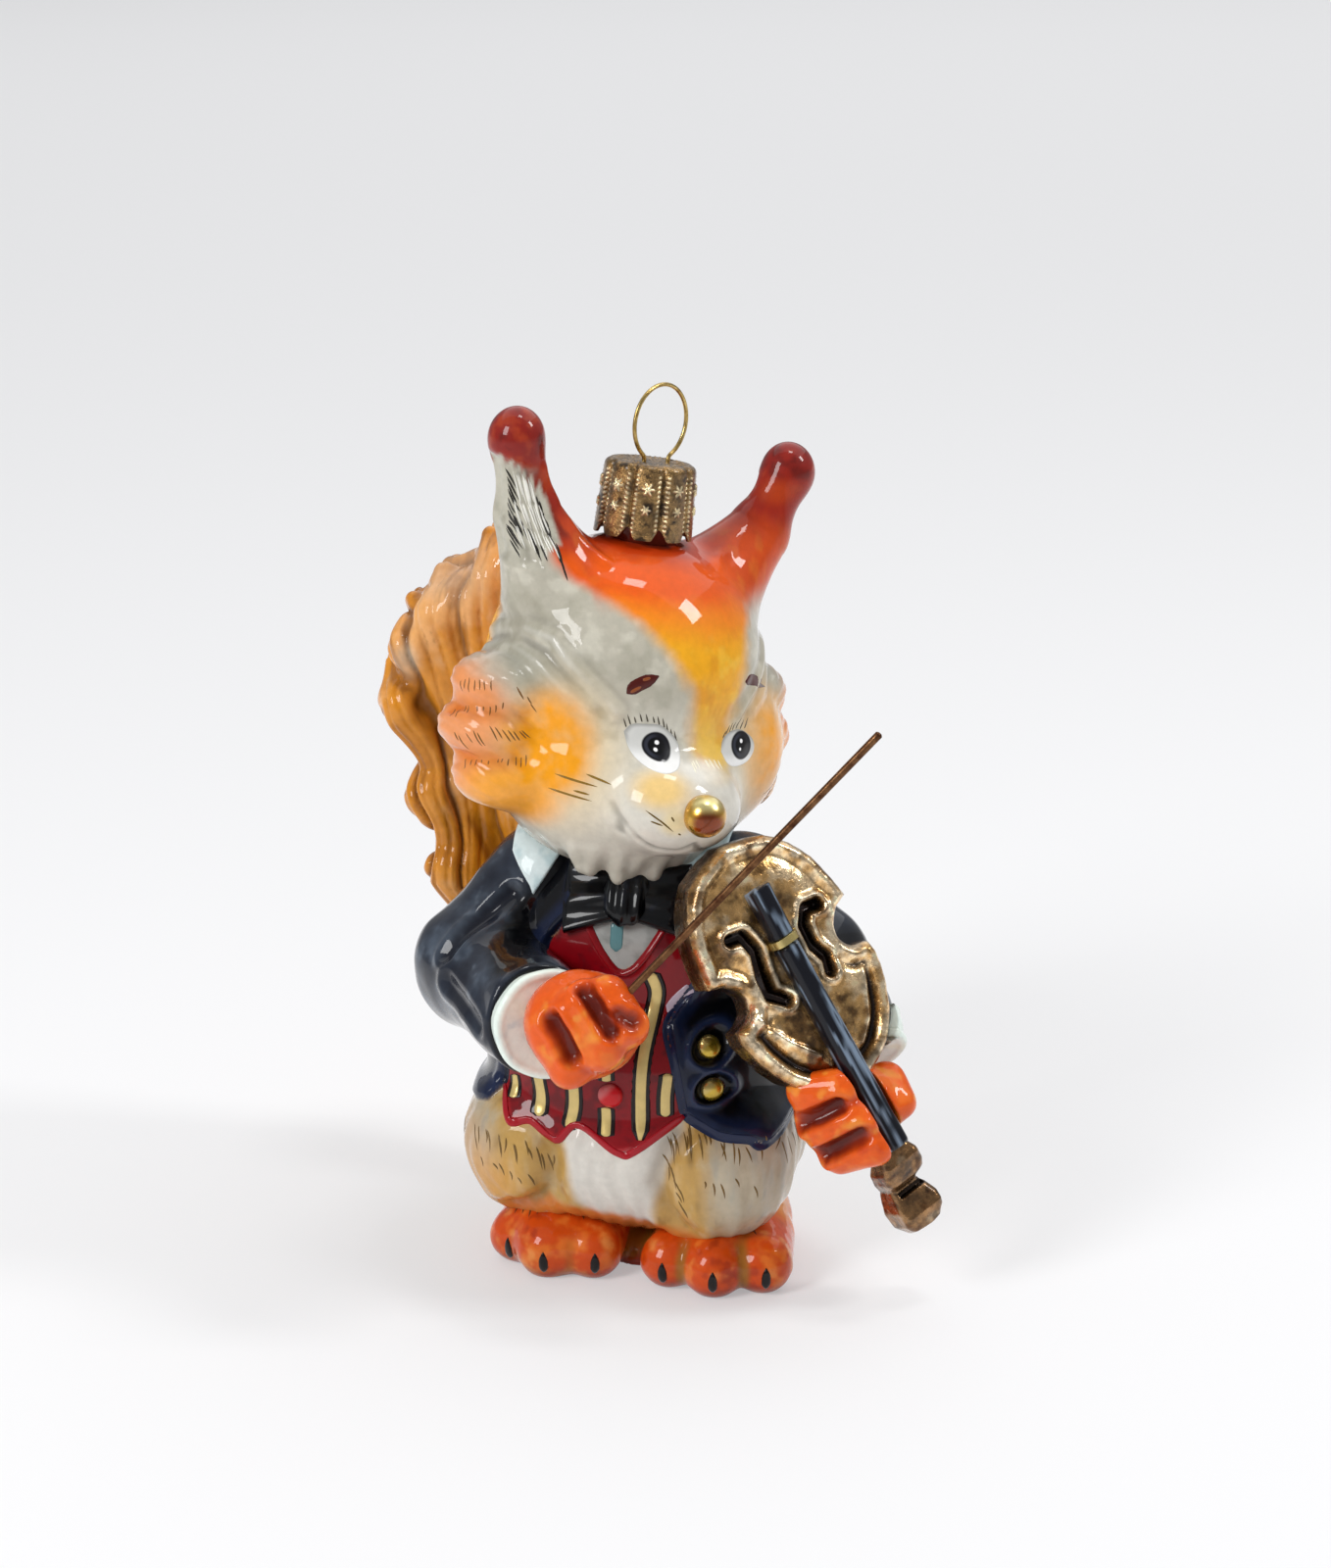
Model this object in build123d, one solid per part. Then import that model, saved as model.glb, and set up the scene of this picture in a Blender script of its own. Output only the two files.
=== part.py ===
from build123d import *
import math
import os

os.makedirs("parts", exist_ok=True)

# A hollow, mould-blown and hand-painted glass ornament: a squirrel that plays the violin.
# +X is the figure's left, -Y is where its chest faces, +Z is up; the origin is on the floor under it.
# Lengths are in millimetres and angles in degrees.
# The glass swells in rounded lobes. Each lobe is an oval or a limb (two balls and the cone round them),
# neighbours run softly into one another, and a skin of flat facets is laid over the sum.

# Glass
glass_wall = 1.1
lobe_softness = 1.0
finger_softness = 0.6
cloth_relief = 0.8
waistcoat_relief = 0.4
reach_limit = 45.0

# Trunk, from the floor to the neck
trunk_half_width = 20.0
trunk_half_depth = 18.0
trunk_height = 58.0

# Head, tilted and turned on the neck
head_half_width = 18.5
head_half_depth = 17.5
head_half_height = 20.0
head_rise = 18.0
head_shift = 1.5
head_turn = 41.5
head_tilt = 8.0
ear_half_width = 7.0
right_ear_height = 17.9
left_ear_height = 15.4
right_ear_lean = 7.4
left_ear_lean = 9.6
nose_radius = 2.75
eye_half_width = 3.0
eye_half_height = 2.9
eye_relief = 0.35

# Neck tube, cap and wire hanger
neck_radius = 4.85
neck_bore_radius = 4.05
cap_radius = 6.45
cap_top_radius = 5.9
cap_wall = 0.35
cap_height = 9.7
cap_shoulder = 1.4
cap_stand = 0.9
cap_clearance = 0.35
pleat_count = 9
pleat_depth = 0.3
notch_width = 1.6
notch_height = 1.8
wire_diameter = 0.7
wire_hole_diameter = 1.2
leg_spacing = 4.6
hanger_offset = 0.9
ring_radius = 4.95
ring_bend_radius = 1.0
leg_length = 7.0
leg_flare = 0.2
hanger_turn = -71.5

# Arms
sleeve_radius = 7.6
cuff_radius = 8.6
left_cuff_radius = 6.7
cuff_rim = 0.8
paw_half_width = 7.6
paw_half_depth = 6.0
paw_half_height = 7.2
finger_radius = 2.8

# Feet and tail
foot_half_width = 9.0
foot_half_length = 14.0
foot_height = 11.0
tail_half_width = 16.5
tail_half_depth = 11.0
tail_height = 78.0
lock_radius = 4.0
lock_length = 21.0

# Violin, its outline measured from the middle of the chin bout's corners
violin_half_width = 11.4
violin_chin_length = 14.0
violin_neck_end_length = 21.4
violin_thickness = 6.0
violin_edge = 0.7
violin_arch = 0.8
sound_hole_width = 0.9
sound_hole_depth = 0.8
tailpiece_width = 3.4
tailpiece_length = 7.0
string_height = 3.0
bridge_thickness = 0.9
fingerboard_length = 31.0
fingerboard_width = 3.1
string_ridge = 0.35
neck_width = 3.6
scroll_length = 12.4
scroll_half_width = 3.2
scroll_depth = 8.0
slot_width = 1.5
slot_depth = 1.6

# Bow
bow_diameter = 1.0
bow_length = 45.0
bow_grip = 6.0

# Clothes and buttons
collar_relief = 0.9
tie_width = 17.6
tie_height = 8.4
tie_thickness = 3.0
tie_knot_width = 4.6
tie_pleats = 3
coat_button_diameter = 3.1
button_rim_diameter = 5.0
button_rim_width = 0.7
button_rim_height = 0.6
waistcoat_button_diameter = 3.2
button_height = 1.1

X_AXIS, Y_AXIS, Z_AXIS = (1, 0, 0), (0, 1, 0), (0, 0, 1)


def scaled(shares, size):
    """A point or a set of radii from shares of a piece's own sizes."""
    return tuple(share * length for share, length in zip(shares, size))


def oval(centre, radii):
    """Distance outside an oval lobe; negative inside it."""
    def distance(point):
        ratios = [(p - c) / r for p, c, r in zip(point, centre, radii)]
        size = math.hypot(*ratios)
        slope = math.hypot(*(ratio / r for ratio, r in zip(ratios, radii)))
        return size * (size - 1) / slope if slope else -min(radii)
    return distance


def limb(start, start_radius, end, end_radius):
    """Distance outside a limb that tapers from one ball to another; negative inside it."""
    along = [e - s for s, e in zip(start, end)]
    square = sum(a * a for a in along)

    def distance(point):
        t = sum((p - s) * a for p, s, a in zip(point, start, along)) / square
        t = min(max(t, 0), 1)
        gap = math.hypot(*(p - s - t * a for p, s, a in zip(point, start, along)))
        return gap - start_radius - t * (end_radius - start_radius)
    return distance


def blend(lobes, softness):
    """One form from many lobes, whose creases are filled softly."""
    def distance(point):
        gaps = [lobe(point) for lobe in lobes]
        least = min(gaps)
        total = sum(math.exp((least - gap) / softness) for gap in gaps)
        return least - softness * math.log(total)
    return distance


def grown(form, margin):
    """The same form with its surface moved outwards, or inwards by a negative margin."""
    return lambda point: form(point) - margin


def reach(form, start, direction):
    """How far the form reaches from a point inside it."""
    step = reach_limit / 90
    near, far = 0, step
    while far < reach_limit and form([s + far * d for s, d in zip(start, direction)]) < 0:
        near, far = far, far + step
    for _ in range(10):
        middle = (near + far) / 2
        if form([s + middle * d for s, d in zip(start, direction)]) < 0:
            near = middle
        else:
            far = middle
    return near


def facet(a, b, c):
    return Face(Wire.make_polygon([a, b, c], close=True))


def facet_solid(rings):
    """A closed solid through level rings of points, in flat triangles with a flat cover at each end."""
    faces = [Face(Wire.make_polygon(ring, close=True)) for ring in (rings[0], rings[-1])]
    for lower, upper in zip(rings, rings[1:]):
        for i in range(len(lower)):
            j = (i + 1) % len(lower)
            faces.append(facet(lower[i], lower[j], upper[j]))
            faces.append(facet(lower[i], upper[j], upper[i]))
    return Solid(Shell(faces))


def facet_revolve(profile, sides, flute_count=0, flute_depth=0):
    """A solid of flat facets from a rising profile of (radius, height), round or fluted."""
    rings = []
    for radius, height in profile:
        ring = []
        for i in range(sides):
            angle = 2 * math.pi * i / sides
            dip = flute_depth if flute_count and i % (sides // flute_count) == 0 else 0
            ring.append(((radius - dip) * math.cos(angle), (radius - dip) * math.sin(angle), height))
        rings.append(ring)
    return facet_solid(rings)


def facet_tube(points, radius, sides):
    """A wire of flat facets along points that lie in the XZ plane."""
    rings = []
    for k, (x, z) in enumerate(points):
        before, after = points[max(k - 1, 0)], points[min(k + 1, len(points) - 1)]
        heading = math.atan2(after[1] - before[1], after[0] - before[0])
        ring = []
        for i in range(sides):
            angle = 2 * math.pi * i / sides
            out = radius * math.cos(angle)
            ring.append((x - out * math.sin(heading), radius * math.sin(angle), z + out * math.cos(heading)))
        rings.append(ring)
    return facet_solid(rings)


def arc_points(start, middle, end, steps):
    """Points along a flat arc through three points, from its start to its end."""
    arc = ThreePointArc(start, middle, end)
    return [((arc @ (k / steps)).X, (arc @ (k / steps)).Y) for k in range(steps + 1)]


def at_height(spine, z):
    """The point of a rising centre line at one height."""
    if z <= spine[0][2]:
        return (spine[0][0], spine[0][1], z)
    for low, high in zip(spine, spine[1:]):
        if z <= high[2]:
            t = (z - low[2]) / (high[2] - low[2])
            return tuple(a + t * (b - a) for a, b in zip(low, high))
    return (spine[-1][0], spine[-1][1], z)


def skin(form, spine, around, levels, flat=False):
    """Level rings of points where rays from the centre line leave the form, made into a solid.

    The rings lie closer together near the bottom and the top, where the form rounds over,
    unless the solid starts flat at the foot of its centre line."""
    top = spine[-1][2] + reach(form, spine[-1], Z_AXIS)
    bottom = spine[0][2] if flat else spine[0][2] - reach(form, spine[0], (0, 0, -1))
    rings = []
    for k in range(levels):
        if flat:
            share = math.sin(math.pi / 2 * k / (levels - 0.5))
        else:
            share = (1 - math.cos(math.pi * (k + 0.5) / levels)) / 2
        centre = at_height(spine, bottom + share * (top - bottom))
        ring = []
        for i in range(around):
            angle = 2 * math.pi * i / around
            direction = (math.cos(angle), math.sin(angle), 0)
            length = reach(form, centre, direction)
            ring.append(tuple(c + length * d for c, d in zip(centre, direction)))
        rings.append(ring)
    return facet_solid(rings)


def ovals(table, size, origin=(0, 0, 0)):
    """Oval lobes from rows of shares: three for the centre and three for the radii."""
    lobes = []
    for row in table:
        centre = tuple(o + c for o, c in zip(origin, scaled(row[:3], size)))
        lobes.append(oval(centre, scaled(row[3:], size)))
    return lobes


def limbs(table, size, radius, origin=(0, 0, 0)):
    """Limbs from rows of shares: a point and a radius at each end."""
    lobes = []
    for row in table:
        start = tuple(o + c for o, c in zip(origin, scaled(row[0:3], size)))
        end = tuple(o + c for o, c in zip(origin, scaled(row[4:7], size)))
        lobes.append(limb(start, row[3] * radius, end, row[7] * radius))
    return lobes


def main_solid(shape):
    """The largest solid of a cut piece, without crumbs."""
    return max(shape.solids(), key=lambda solid: solid.volume)


def trimmed(piece, *neighbours):
    """A piece that gives way to its neighbours, so that they meet face to face."""
    for neighbour in neighbours:
        piece = main_solid(piece - neighbour)
    return piece


def front_prism(points, depth):
    """A cutter over an outline drawn on the front, from the middle plane forwards."""
    outline = make_face(Polyline(*[(x, 0, z) for x, z in points], close=True))
    return extrude(outline, amount=depth, dir=(0, -1, 0))


def seat(form, x, z, depth):
    """A plane on the front of a form at x and z, with its normal outwards."""
    start = (x, 0, z)
    y = -reach(form, start, (0, -1, 0))
    point = (x, y, z)
    d = depth
    slope = [form([p + d * a for p, a in zip(point, axis)]) - form([p - d * a for p, a in zip(point, axis)])
             for axis in (X_AXIS, Y_AXIS, Z_AXIS)]
    normal = Vector(*slope).normalized()
    across = Vector(0, 0, 1).cross(normal)
    return Plane(origin=point, x_dir=across, z_dir=normal)


# Sizes of each group as (half width, half depth, height), for the tables of shares below
trunk_size = (trunk_half_width, trunk_half_depth, trunk_height)
head_size = (head_half_width, head_half_depth, head_half_height)
paw_size = (paw_half_width, paw_half_depth, paw_half_height)
foot_size = (foot_half_width, foot_half_length, foot_height)
tail_size = (tail_half_width, tail_half_depth, tail_height)
nodes = {}

# Trunk: chest, waist, belly and the two thighs
trunk_shares = [
    (0.00, 0.00, 0.76, 0.85, 0.78, 0.24),
    (0.00, 0.00, 0.50, 1.00, 1.00, 0.22),
    (-0.01, 0.00, 0.30, 1.18, 1.06, 0.24),
    (-0.65, -0.44, 0.29, 0.53, 0.56, 0.17),
    (0.60, -0.50, 0.27, 0.54, 0.56, 0.19),
]
trunk_form = blend(ovals(trunk_shares, trunk_size), lobe_softness)
trunk_core_share = 0.5
trunk_spine = [(0, 0, trunk_height * trunk_core_share)]
trunk_sides, trunk_levels = 34, 19
trunk_skin = skin(trunk_form, trunk_spine, trunk_sides, trunk_levels)
coat_skin = skin(grown(trunk_form, cloth_relief), trunk_spine, trunk_sides, trunk_levels)
waistcoat_skin = skin(grown(trunk_form, waistcoat_relief), trunk_spine, trunk_sides, trunk_levels)
cavity_sides, cavity_levels = 12, 8
cavity_margin = -1.5 * glass_wall
trunk_cavity = skin(grown(trunk_form, cavity_margin), trunk_spine, cavity_sides, cavity_levels)

# Head: skull, jowls, three scalloped tufts of fur on each cheek, and muzzle, in the head's own frame
head_place = Pos(-head_shift, 0, trunk_height + head_rise) * Rot(0, 0, head_turn) * Rot(0, head_tilt, 0)
head_shares = [
    (0.00, 0.09, 0.20, 1.00, 1.00, 0.88),
    (0.03, -0.06, -0.43, 0.97, 0.91, 0.69),
    (0.95, 0.06, 0.08, 0.36, 0.40, 0.20),
    (1.03, 0.06, -0.22, 0.36, 0.40, 0.20),
    (0.91, 0.00, -0.52, 0.37, 0.40, 0.22),
    (-0.96, 0.06, 0.08, 0.36, 0.40, 0.20),
    (-1.03, 0.06, -0.22, 0.36, 0.40, 0.20),
    (-0.90, 0.00, -0.52, 0.37, 0.40, 0.22),
    (0.00, -0.83, -0.53, 0.49, 0.46, 0.33),
]
head_form = blend(ovals(head_shares, head_size), lobe_softness)
head_spine = [(0, 0, 0)]
head_sides, head_levels = 36, 20
head_skin = skin(head_form, head_spine, head_sides, head_levels)
head_cavity = skin(grown(head_form, cavity_margin), head_spine, cavity_sides, cavity_levels)

# The neck tube stands open under the cap, and the cap clears the crown of the head
cap_offset_share = 0.06
cap_axis_y = head_half_depth * cap_offset_share
crown = [reach(head_form, (x * cap_radius, cap_axis_y + y * cap_radius, 0), Z_AXIS)
         for x, y in ((0, 0), (1, 0), (0, 1), (-1, 0), (0, -1))]
cap_bottom = max(crown[1:]) + cap_stand
cap_top = cap_bottom + cap_height
neck_top = cap_top - cap_wall - cap_shoulder - cap_clearance
neck_foot = min(crown) - glass_wall
neck_sides = 18
neck_tube = Pos(0, cap_axis_y, 0) * facet_revolve(
    [(neck_radius, neck_foot), (neck_radius, neck_top)], neck_sides)
neck_bore = Pos(0, cap_axis_y, 0) * facet_revolve(
    [(neck_bore_radius, neck_foot - 2 * glass_wall), (neck_bore_radius, neck_top + glass_wall)], neck_sides)
head_outer = head_place * (head_skin + neck_tube)
nodes["head"] = main_solid(head_place * (head_skin + neck_tube - head_cavity - neck_bore))

# Ears: a broad root, a slim stem and a round tuft at the tip, leaning outwards
ear_root_shares = (0.65, 0.09, 0.75)
ear_limb_shares = [
    (0.00, 0.00, 0.00, 1.00, 0.62, 0.07, 0.45, 0.60),
    (0.62, 0.07, 0.45, 0.53, 1.00, 0.07, 1.00, 0.43),
]
ear_tuft_shares = (1.00, 0.07, 1.00, 0.49, 0.49, 0.24)


def ear(side, height, lean):
    size = (side * lean, ear_half_width, height)
    root = scaled(ear_root_shares, (side * head_half_width, head_half_depth, head_half_height))
    tuft_centre = tuple(r + t for r, t in zip(root, scaled(ear_tuft_shares[:3], size)))
    tuft_radii = scaled(ear_tuft_shares[3:], (ear_half_width, ear_half_width, height))
    form = blend(limbs(ear_limb_shares, size, ear_half_width, root) + [oval(tuft_centre, tuft_radii)],
                 finger_softness)
    stem = tuple(r + t for r, t in zip(root, scaled(ear_limb_shares[0][4:7], size)))
    return trimmed(head_place * skin(form, [root, stem, tuft_centre], 16, 11), head_outer)


nodes["right_ear"] = ear(-1, right_ear_height, right_ear_lean)
nodes["left_ear"] = ear(1, left_ear_height, left_ear_lean)

# Nose ball and the two eyes, raised a little from the face
nose_shares = (0.00, -1.31, -0.51)
nose_centre = scaled(nose_shares, head_size)
nose_skin = skin(oval(nose_centre, (nose_radius, nose_radius, nose_radius)), [nose_centre], 12, 7)
nodes["nose"] = trimmed(head_place * nose_skin, head_outer)
eye_form = grown(head_form, eye_relief)
eye_skin = head_place * skin(eye_form, head_spine, head_sides, head_levels)
eye_sides = 14
eye_place_shares = {"right_eye": (-0.27, -0.14), "left_eye": (0.42, -0.16)}
for name, (across_share, height_share) in eye_place_shares.items():
    window = Pos(head_half_width * across_share, 0, head_half_height * height_share) * Rot(90, 0, 0)
    rim_points = [(eye_half_width * math.cos(2 * math.pi * k / eye_sides),
                   eye_half_height * math.sin(2 * math.pi * k / eye_sides)) for k in range(eye_sides)]
    window = head_place * window * extrude(make_face(Polyline(*rim_points, close=True)), amount=reach_limit)
    nodes[name] = main_solid((eye_skin & window) - head_outer)

# Clothes: outlines on the front, as shares of the trunk's half width and height
opening_left_shares = [
    (-0.26, 1.05), (-0.26, 0.87), (-0.46, 0.79), (-0.72, 0.51), (-0.76, 0.44),
]
hem_shares = [
    (-0.69, 0.38), (-0.54, 0.385), (-0.36, 0.35), (-0.21, 0.39), (0.06, 0.34), (0.18, 0.345), (0.48, 0.42),
]
opening_right_shares = [
    (0.41, 0.54), (0.34, 0.62), (0.49, 0.71), (0.52, 0.80), (0.38, 0.89), (0.38, 1.05),
]
neckline_shares = [
    (-0.26, 0.87), (-0.19, 0.84), (-0.08, 0.78), (0.03, 0.74), (0.15, 0.76), (0.32, 0.85), (0.38, 0.89),
]
coat_hem_left_shares = [(-2.00, 0.43), (-0.76, 0.44)]
coat_hem_right_shares = [(0.71, 0.385), (0.90, 0.37), (1.01, 0.355), (1.10, 0.38), (2.00, 0.385)]


def front_points(shares):
    return [(x * trunk_half_width, z * trunk_height) for x, z in shares]


cut_depth = 2 * reach_limit
opening = front_prism(front_points(opening_left_shares + hem_shares + opening_right_shares), cut_depth)
neckline_line = opening_left_shares[:1] + neckline_shares + opening_right_shares[-1:]
neckline = front_prism(front_points(neckline_line), cut_depth)
hem_line = coat_hem_left_shares + hem_shares + coat_hem_right_shares
below_shares = [(-2.00, -0.10), (2.00, -0.10)]
below_front = front_prism(front_points(below_shares[:1] + hem_line + below_shares[1:]), cut_depth)
back_outline = front_points([below_shares[0], hem_line[0], hem_line[-1], below_shares[1]])
below_back = extrude(make_face(Polyline(*[(x, 0, z) for x, z in back_outline], close=True)),
                     amount=cut_depth, dir=(0, 1, 0))
below_hem = below_front + below_back

# Violin, in its own frame: X across, Y from the chin end to the scroll, Z out of its face
violin_place_shares = (1.09, -0.88, 0.85)
violin_axis = (0.519, 0.010, -0.855)
violin_face = (0.559, -0.760, 0.330)
violin_axis_vector = Vector(*violin_axis).normalized()
violin_face_vector = Vector(*violin_face).normalized()
violin_across_vector = violin_axis_vector.cross(violin_face_vector).normalized()
violin_plane = Plane(origin=scaled(violin_place_shares, trunk_size),
                     x_dir=violin_across_vector, z_dir=violin_across_vector.cross(violin_axis_vector))


def on_violin(across, along, height):
    return tuple(violin_plane.from_local_coords(Vector(across, along, height)))


chin_bout_shares = [(0.00, -1.00), (0.65, -0.68), (0.98, -0.05)]
waist_shares = [(0.93, 0.06), (0.70, 0.19), (0.88, 0.32)]
neck_bout_shares = [(0.93, 0.40), (0.75, 0.76), (0.18, 1.00)]


def violin_point(share):
    length = violin_chin_length if share[1] < 0 else violin_neck_end_length
    return (share[0] * violin_half_width, share[1] * length)


chin_bout = [violin_point(share) for share in chin_bout_shares]
waist = [violin_point(share) for share in waist_shares]
neck_bout = [violin_point(share) for share in neck_bout_shares]
bout_steps = 7
right_side = [point for bout in (chin_bout, waist, neck_bout) for point in arc_points(*bout, bout_steps)]
left_side = [(-x, y) for x, y in reversed(right_side[1:])]
violin_outline = make_face(Polyline(*right_side, *left_side, close=True))
violin_plate = extrude(violin_outline, amount=-violin_thickness)
belly_outline = offset(violin_outline, amount=-2 * violin_edge, kind=Kind.INTERSECTION)
belly_plate = extrude(belly_outline, amount=violin_arch)
violin_shell = violin_plate + belly_plate
sound_hole_shares = [
    ((0.56, -0.06), (0.42, -0.09), (0.38, 0.03)),
    ((0.38, 0.03), (0.41, 0.15), (0.455, 0.26)),
    ((0.455, 0.26), (0.43, 0.345), (0.32, 0.345)),
]
hole_left, hole_right = [], []
hole_steps = 3
for arc in sound_hole_shares:
    curve = ThreePointArc(*[(x * violin_half_width, y * violin_neck_end_length) for x, y in arc])
    for k in range(hole_steps):
        point, heading = curve @ (k / hole_steps), curve % (k / hole_steps)
        side_step = sound_hole_width / 2
        hole_left.append((point.X - heading.Y * side_step, point.Y + heading.X * side_step))
        hole_right.append((point.X + heading.Y * side_step, point.Y - heading.X * side_step))
sound_hole = make_face(Polyline(*hole_left, *reversed(hole_right), close=True))
sound_hole = extrude(sound_hole, amount=sound_hole_depth + violin_arch)
sound_hole = Pos(0, 0, -sound_hole_depth) * sound_hole
violin_shell = violin_shell - sound_hole - mirror(sound_hole, about=Plane.YZ)
nodes["violin_body"] = trimmed(violin_plane * main_solid(violin_shell), head_outer, coat_skin)


def bar(start, end, half_width_start, half_width_end, foot, height_start, height_end, shoulder_share):
    """A bar along the violin that tapers in width and height, with bevelled upper edges."""
    sections = []
    for y, half_width, top in ((start, half_width_start, height_start), (end, half_width_end, height_end)):
        shoulder = foot + (top - foot) * shoulder_share
        flat = half_width * shoulder_share
        points = [(-half_width, y, foot), (half_width, y, foot), (half_width, y, shoulder),
                  (flat, y, top), (-flat, y, top), (-half_width, y, shoulder)]
        sections.append(Wire.make_polygon(points, close=True))
    return Solid.make_loft(sections, ruled=True)


bevel_share = 0.62
bridge_half_width = fingerboard_width * bevel_share
nut_height = violin_arch + (string_height - violin_arch) * bevel_share
tailpiece = bar(-bridge_thickness / 2 - tailpiece_length, -bridge_thickness / 2, tailpiece_width / 2,
                fingerboard_width / 2, violin_arch, string_height, string_height, bevel_share)
nodes["tailpiece"] = trimmed(violin_plane * tailpiece, head_outer)
bridge = bar(-bridge_thickness / 2, bridge_thickness / 2, bridge_half_width, bridge_half_width,
             violin_arch, string_height + string_ridge, string_height + string_ridge, bevel_share)
nodes["bridge"] = violin_plane * bridge
fingerboard = bar(bridge_thickness / 2, fingerboard_length, fingerboard_width / 2 * bevel_share,
                  fingerboard_width / 2, violin_arch, string_height, nut_height, bevel_share)
string_shares = (-0.55, 0.00, 0.55)
for string_share in string_shares:
    x = string_share * fingerboard_width / 2 * bevel_share
    top_start = string_height + string_ridge
    string = Pos(x, 0, 0) * bar(bridge_thickness / 2, fingerboard_length, string_ridge / 2, string_ridge / 2,
                                violin_arch, top_start, nut_height + string_ridge, bevel_share)
    fingerboard = fingerboard + string
nodes["fingerboard"] = violin_plane * main_solid(fingerboard)

# Neck and scroll: a plan outline and a side outline, crossed
neck_end = fingerboard_length
scroll_plan_shares = [
    (0.62, 0.00), (0.98, 0.22), (1.00, 0.38), (0.72, 0.56), (0.98, 0.76), (0.88, 0.93), (0.45, 1.00),
]
plan_right = [(x * scroll_half_width, neck_end + y * scroll_length) for x, y in scroll_plan_shares]
plan = make_face(Polyline(*plan_right, *[(-x, y) for x, y in reversed(plan_right)], close=True))
side_shares = [
    (0.00, 0.10), (0.16, 0.06), (0.46, 0.34), (0.70, 0.32), (0.95, 0.42), (1.00, 0.66), (0.84, 0.97),
    (0.46, 1.00), (0.10, 0.62), (0.00, 0.45),
]
side = make_face(Polyline(*[(0, neck_end + y * scroll_length, violin_arch - z * scroll_depth)
                            for y, z in side_shares], close=True))
scroll = extrude(plan, amount=scroll_depth, both=True) & extrude(side, amount=scroll_half_width, both=True)
slot = Pos(0, neck_end + scroll_length / 2, violin_arch - scroll_depth / 3) * Box(
    2 * scroll_half_width * bevel_share, slot_width, 2 * slot_depth)
neck_section_shares = [
    (-0.50, 0.00), (-0.50, -0.33), (-0.25, -0.60), (0.25, -0.60), (0.50, -0.33), (0.50, 0.00),
]
neck_section = [(x * neck_width, violin_neck_end_length, violin_arch + z * neck_width)
                for x, z in neck_section_shares]
neck = extrude(make_face(Polyline(*neck_section, close=True)),
               amount=neck_end - violin_neck_end_length, dir=(0, 1, 0))
nodes["violin_scroll"] = violin_plane * main_solid(neck + scroll - slot)
violin_parts = [nodes[name] for name in ("violin_body", "fingerboard", "violin_scroll")]

# Right arm: shoulder, elbow and forearm, a flared cuff, and the fist that holds the bow
right_paw_share = (-0.05, -1.57, 0.70)
right_paw_centre = scaled(right_paw_share, trunk_size)
shoulder_right_shares = [(-0.60, -0.06, 0.88, 1.03, -1.02, -0.28, 0.69, 1.03)]
elbow_right_shares = (-1.04, -0.33, 0.68)
wrist_right_shares = (-1.45, 1.47, -0.31)
cuff_right_shares = ((-1.32, 1.38, -0.33), (-0.76, 0.48, -0.22))
wrist_radius_share = 0.96
finger_right_shares = [
    (0.53, -0.45, 0.76, 0.86, 0.88, -0.55, 0.19, 0.96),
    (0.01, -0.60, 0.53, 0.93, 0.47, -0.70, -0.19, 1.04),
    (-0.53, -0.45, 0.08, 0.93, -0.11, -0.60, -0.61, 1.04),
]
sleeve_softness = 1.5 * lobe_softness
cuff_sides = 20


def near(centre, shares):
    """A point near a paw, in shares of the paw's sizes."""
    return tuple(c + s for c, s in zip(centre, scaled(shares, paw_size)))


def cuff(start, end, start_radius, end_radius):
    """A closed cuff that flares towards the paw and turns over at its rim."""
    axis = Vector(*end) - Vector(*start)
    length = axis.length
    body = facet_revolve([(start_radius, 0), (end_radius, length - cuff_rim),
                          (end_radius - cuff_rim / 2, length)], cuff_sides)
    return Plane(origin=start, z_dir=axis.normalized()) * body


shoulder_right = limbs(shoulder_right_shares, trunk_size, sleeve_radius)
elbow_right = scaled(elbow_right_shares, trunk_size)
wrist_right = near(right_paw_centre, wrist_right_shares)
forearm_right = limb(elbow_right, sleeve_radius, wrist_right, sleeve_radius * wrist_radius_share)
sleeve_right_form = blend(shoulder_right + [forearm_right], sleeve_softness)
sleeve_right_spine_shares = [(-0.85, -0.55, 0.70), (-0.85, -0.52, 0.75), (-0.66, -0.12, 0.90)]
sleeve_right_spine = [scaled(shares, trunk_size) for shares in sleeve_right_spine_shares]
right_sleeve = trimmed(skin(sleeve_right_form, sleeve_right_spine, 18, 11), coat_skin, head_outer)
right_cuff = cuff(near(right_paw_centre, cuff_right_shares[0]), near(right_paw_centre, cuff_right_shares[1]),
                  sleeve_radius, cuff_radius)
right_cuff = trimmed(right_cuff, right_sleeve, coat_skin)
palm_right = oval(right_paw_centre, paw_size)
paw_right_form = blend([palm_right] + limbs(finger_right_shares, paw_size, finger_radius, right_paw_centre),
                       finger_softness)
right_paw = trimmed(skin(paw_right_form, [right_paw_centre], 24, 12), right_cuff, right_sleeve, coat_skin)

# Bow: a straight wire glued into a hole in the right fist
bow_foot_shares = (0.46, -0.42, 0.30)
bow_sides = 8
bow_direction = Vector(0.663, 0.049, 0.747).normalized()
bow_foot = near(right_paw_centre, bow_foot_shares)
bow = Plane(origin=bow_foot, z_dir=bow_direction) * facet_revolve(
    [(bow_diameter / 2, 0), (bow_diameter / 2, bow_grip + bow_length)], bow_sides)
nodes["bow"] = bow
nodes["right_sleeve"] = right_sleeve
nodes["right_cuff"] = right_cuff
nodes["right_paw"] = main_solid(right_paw - bow)

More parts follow.
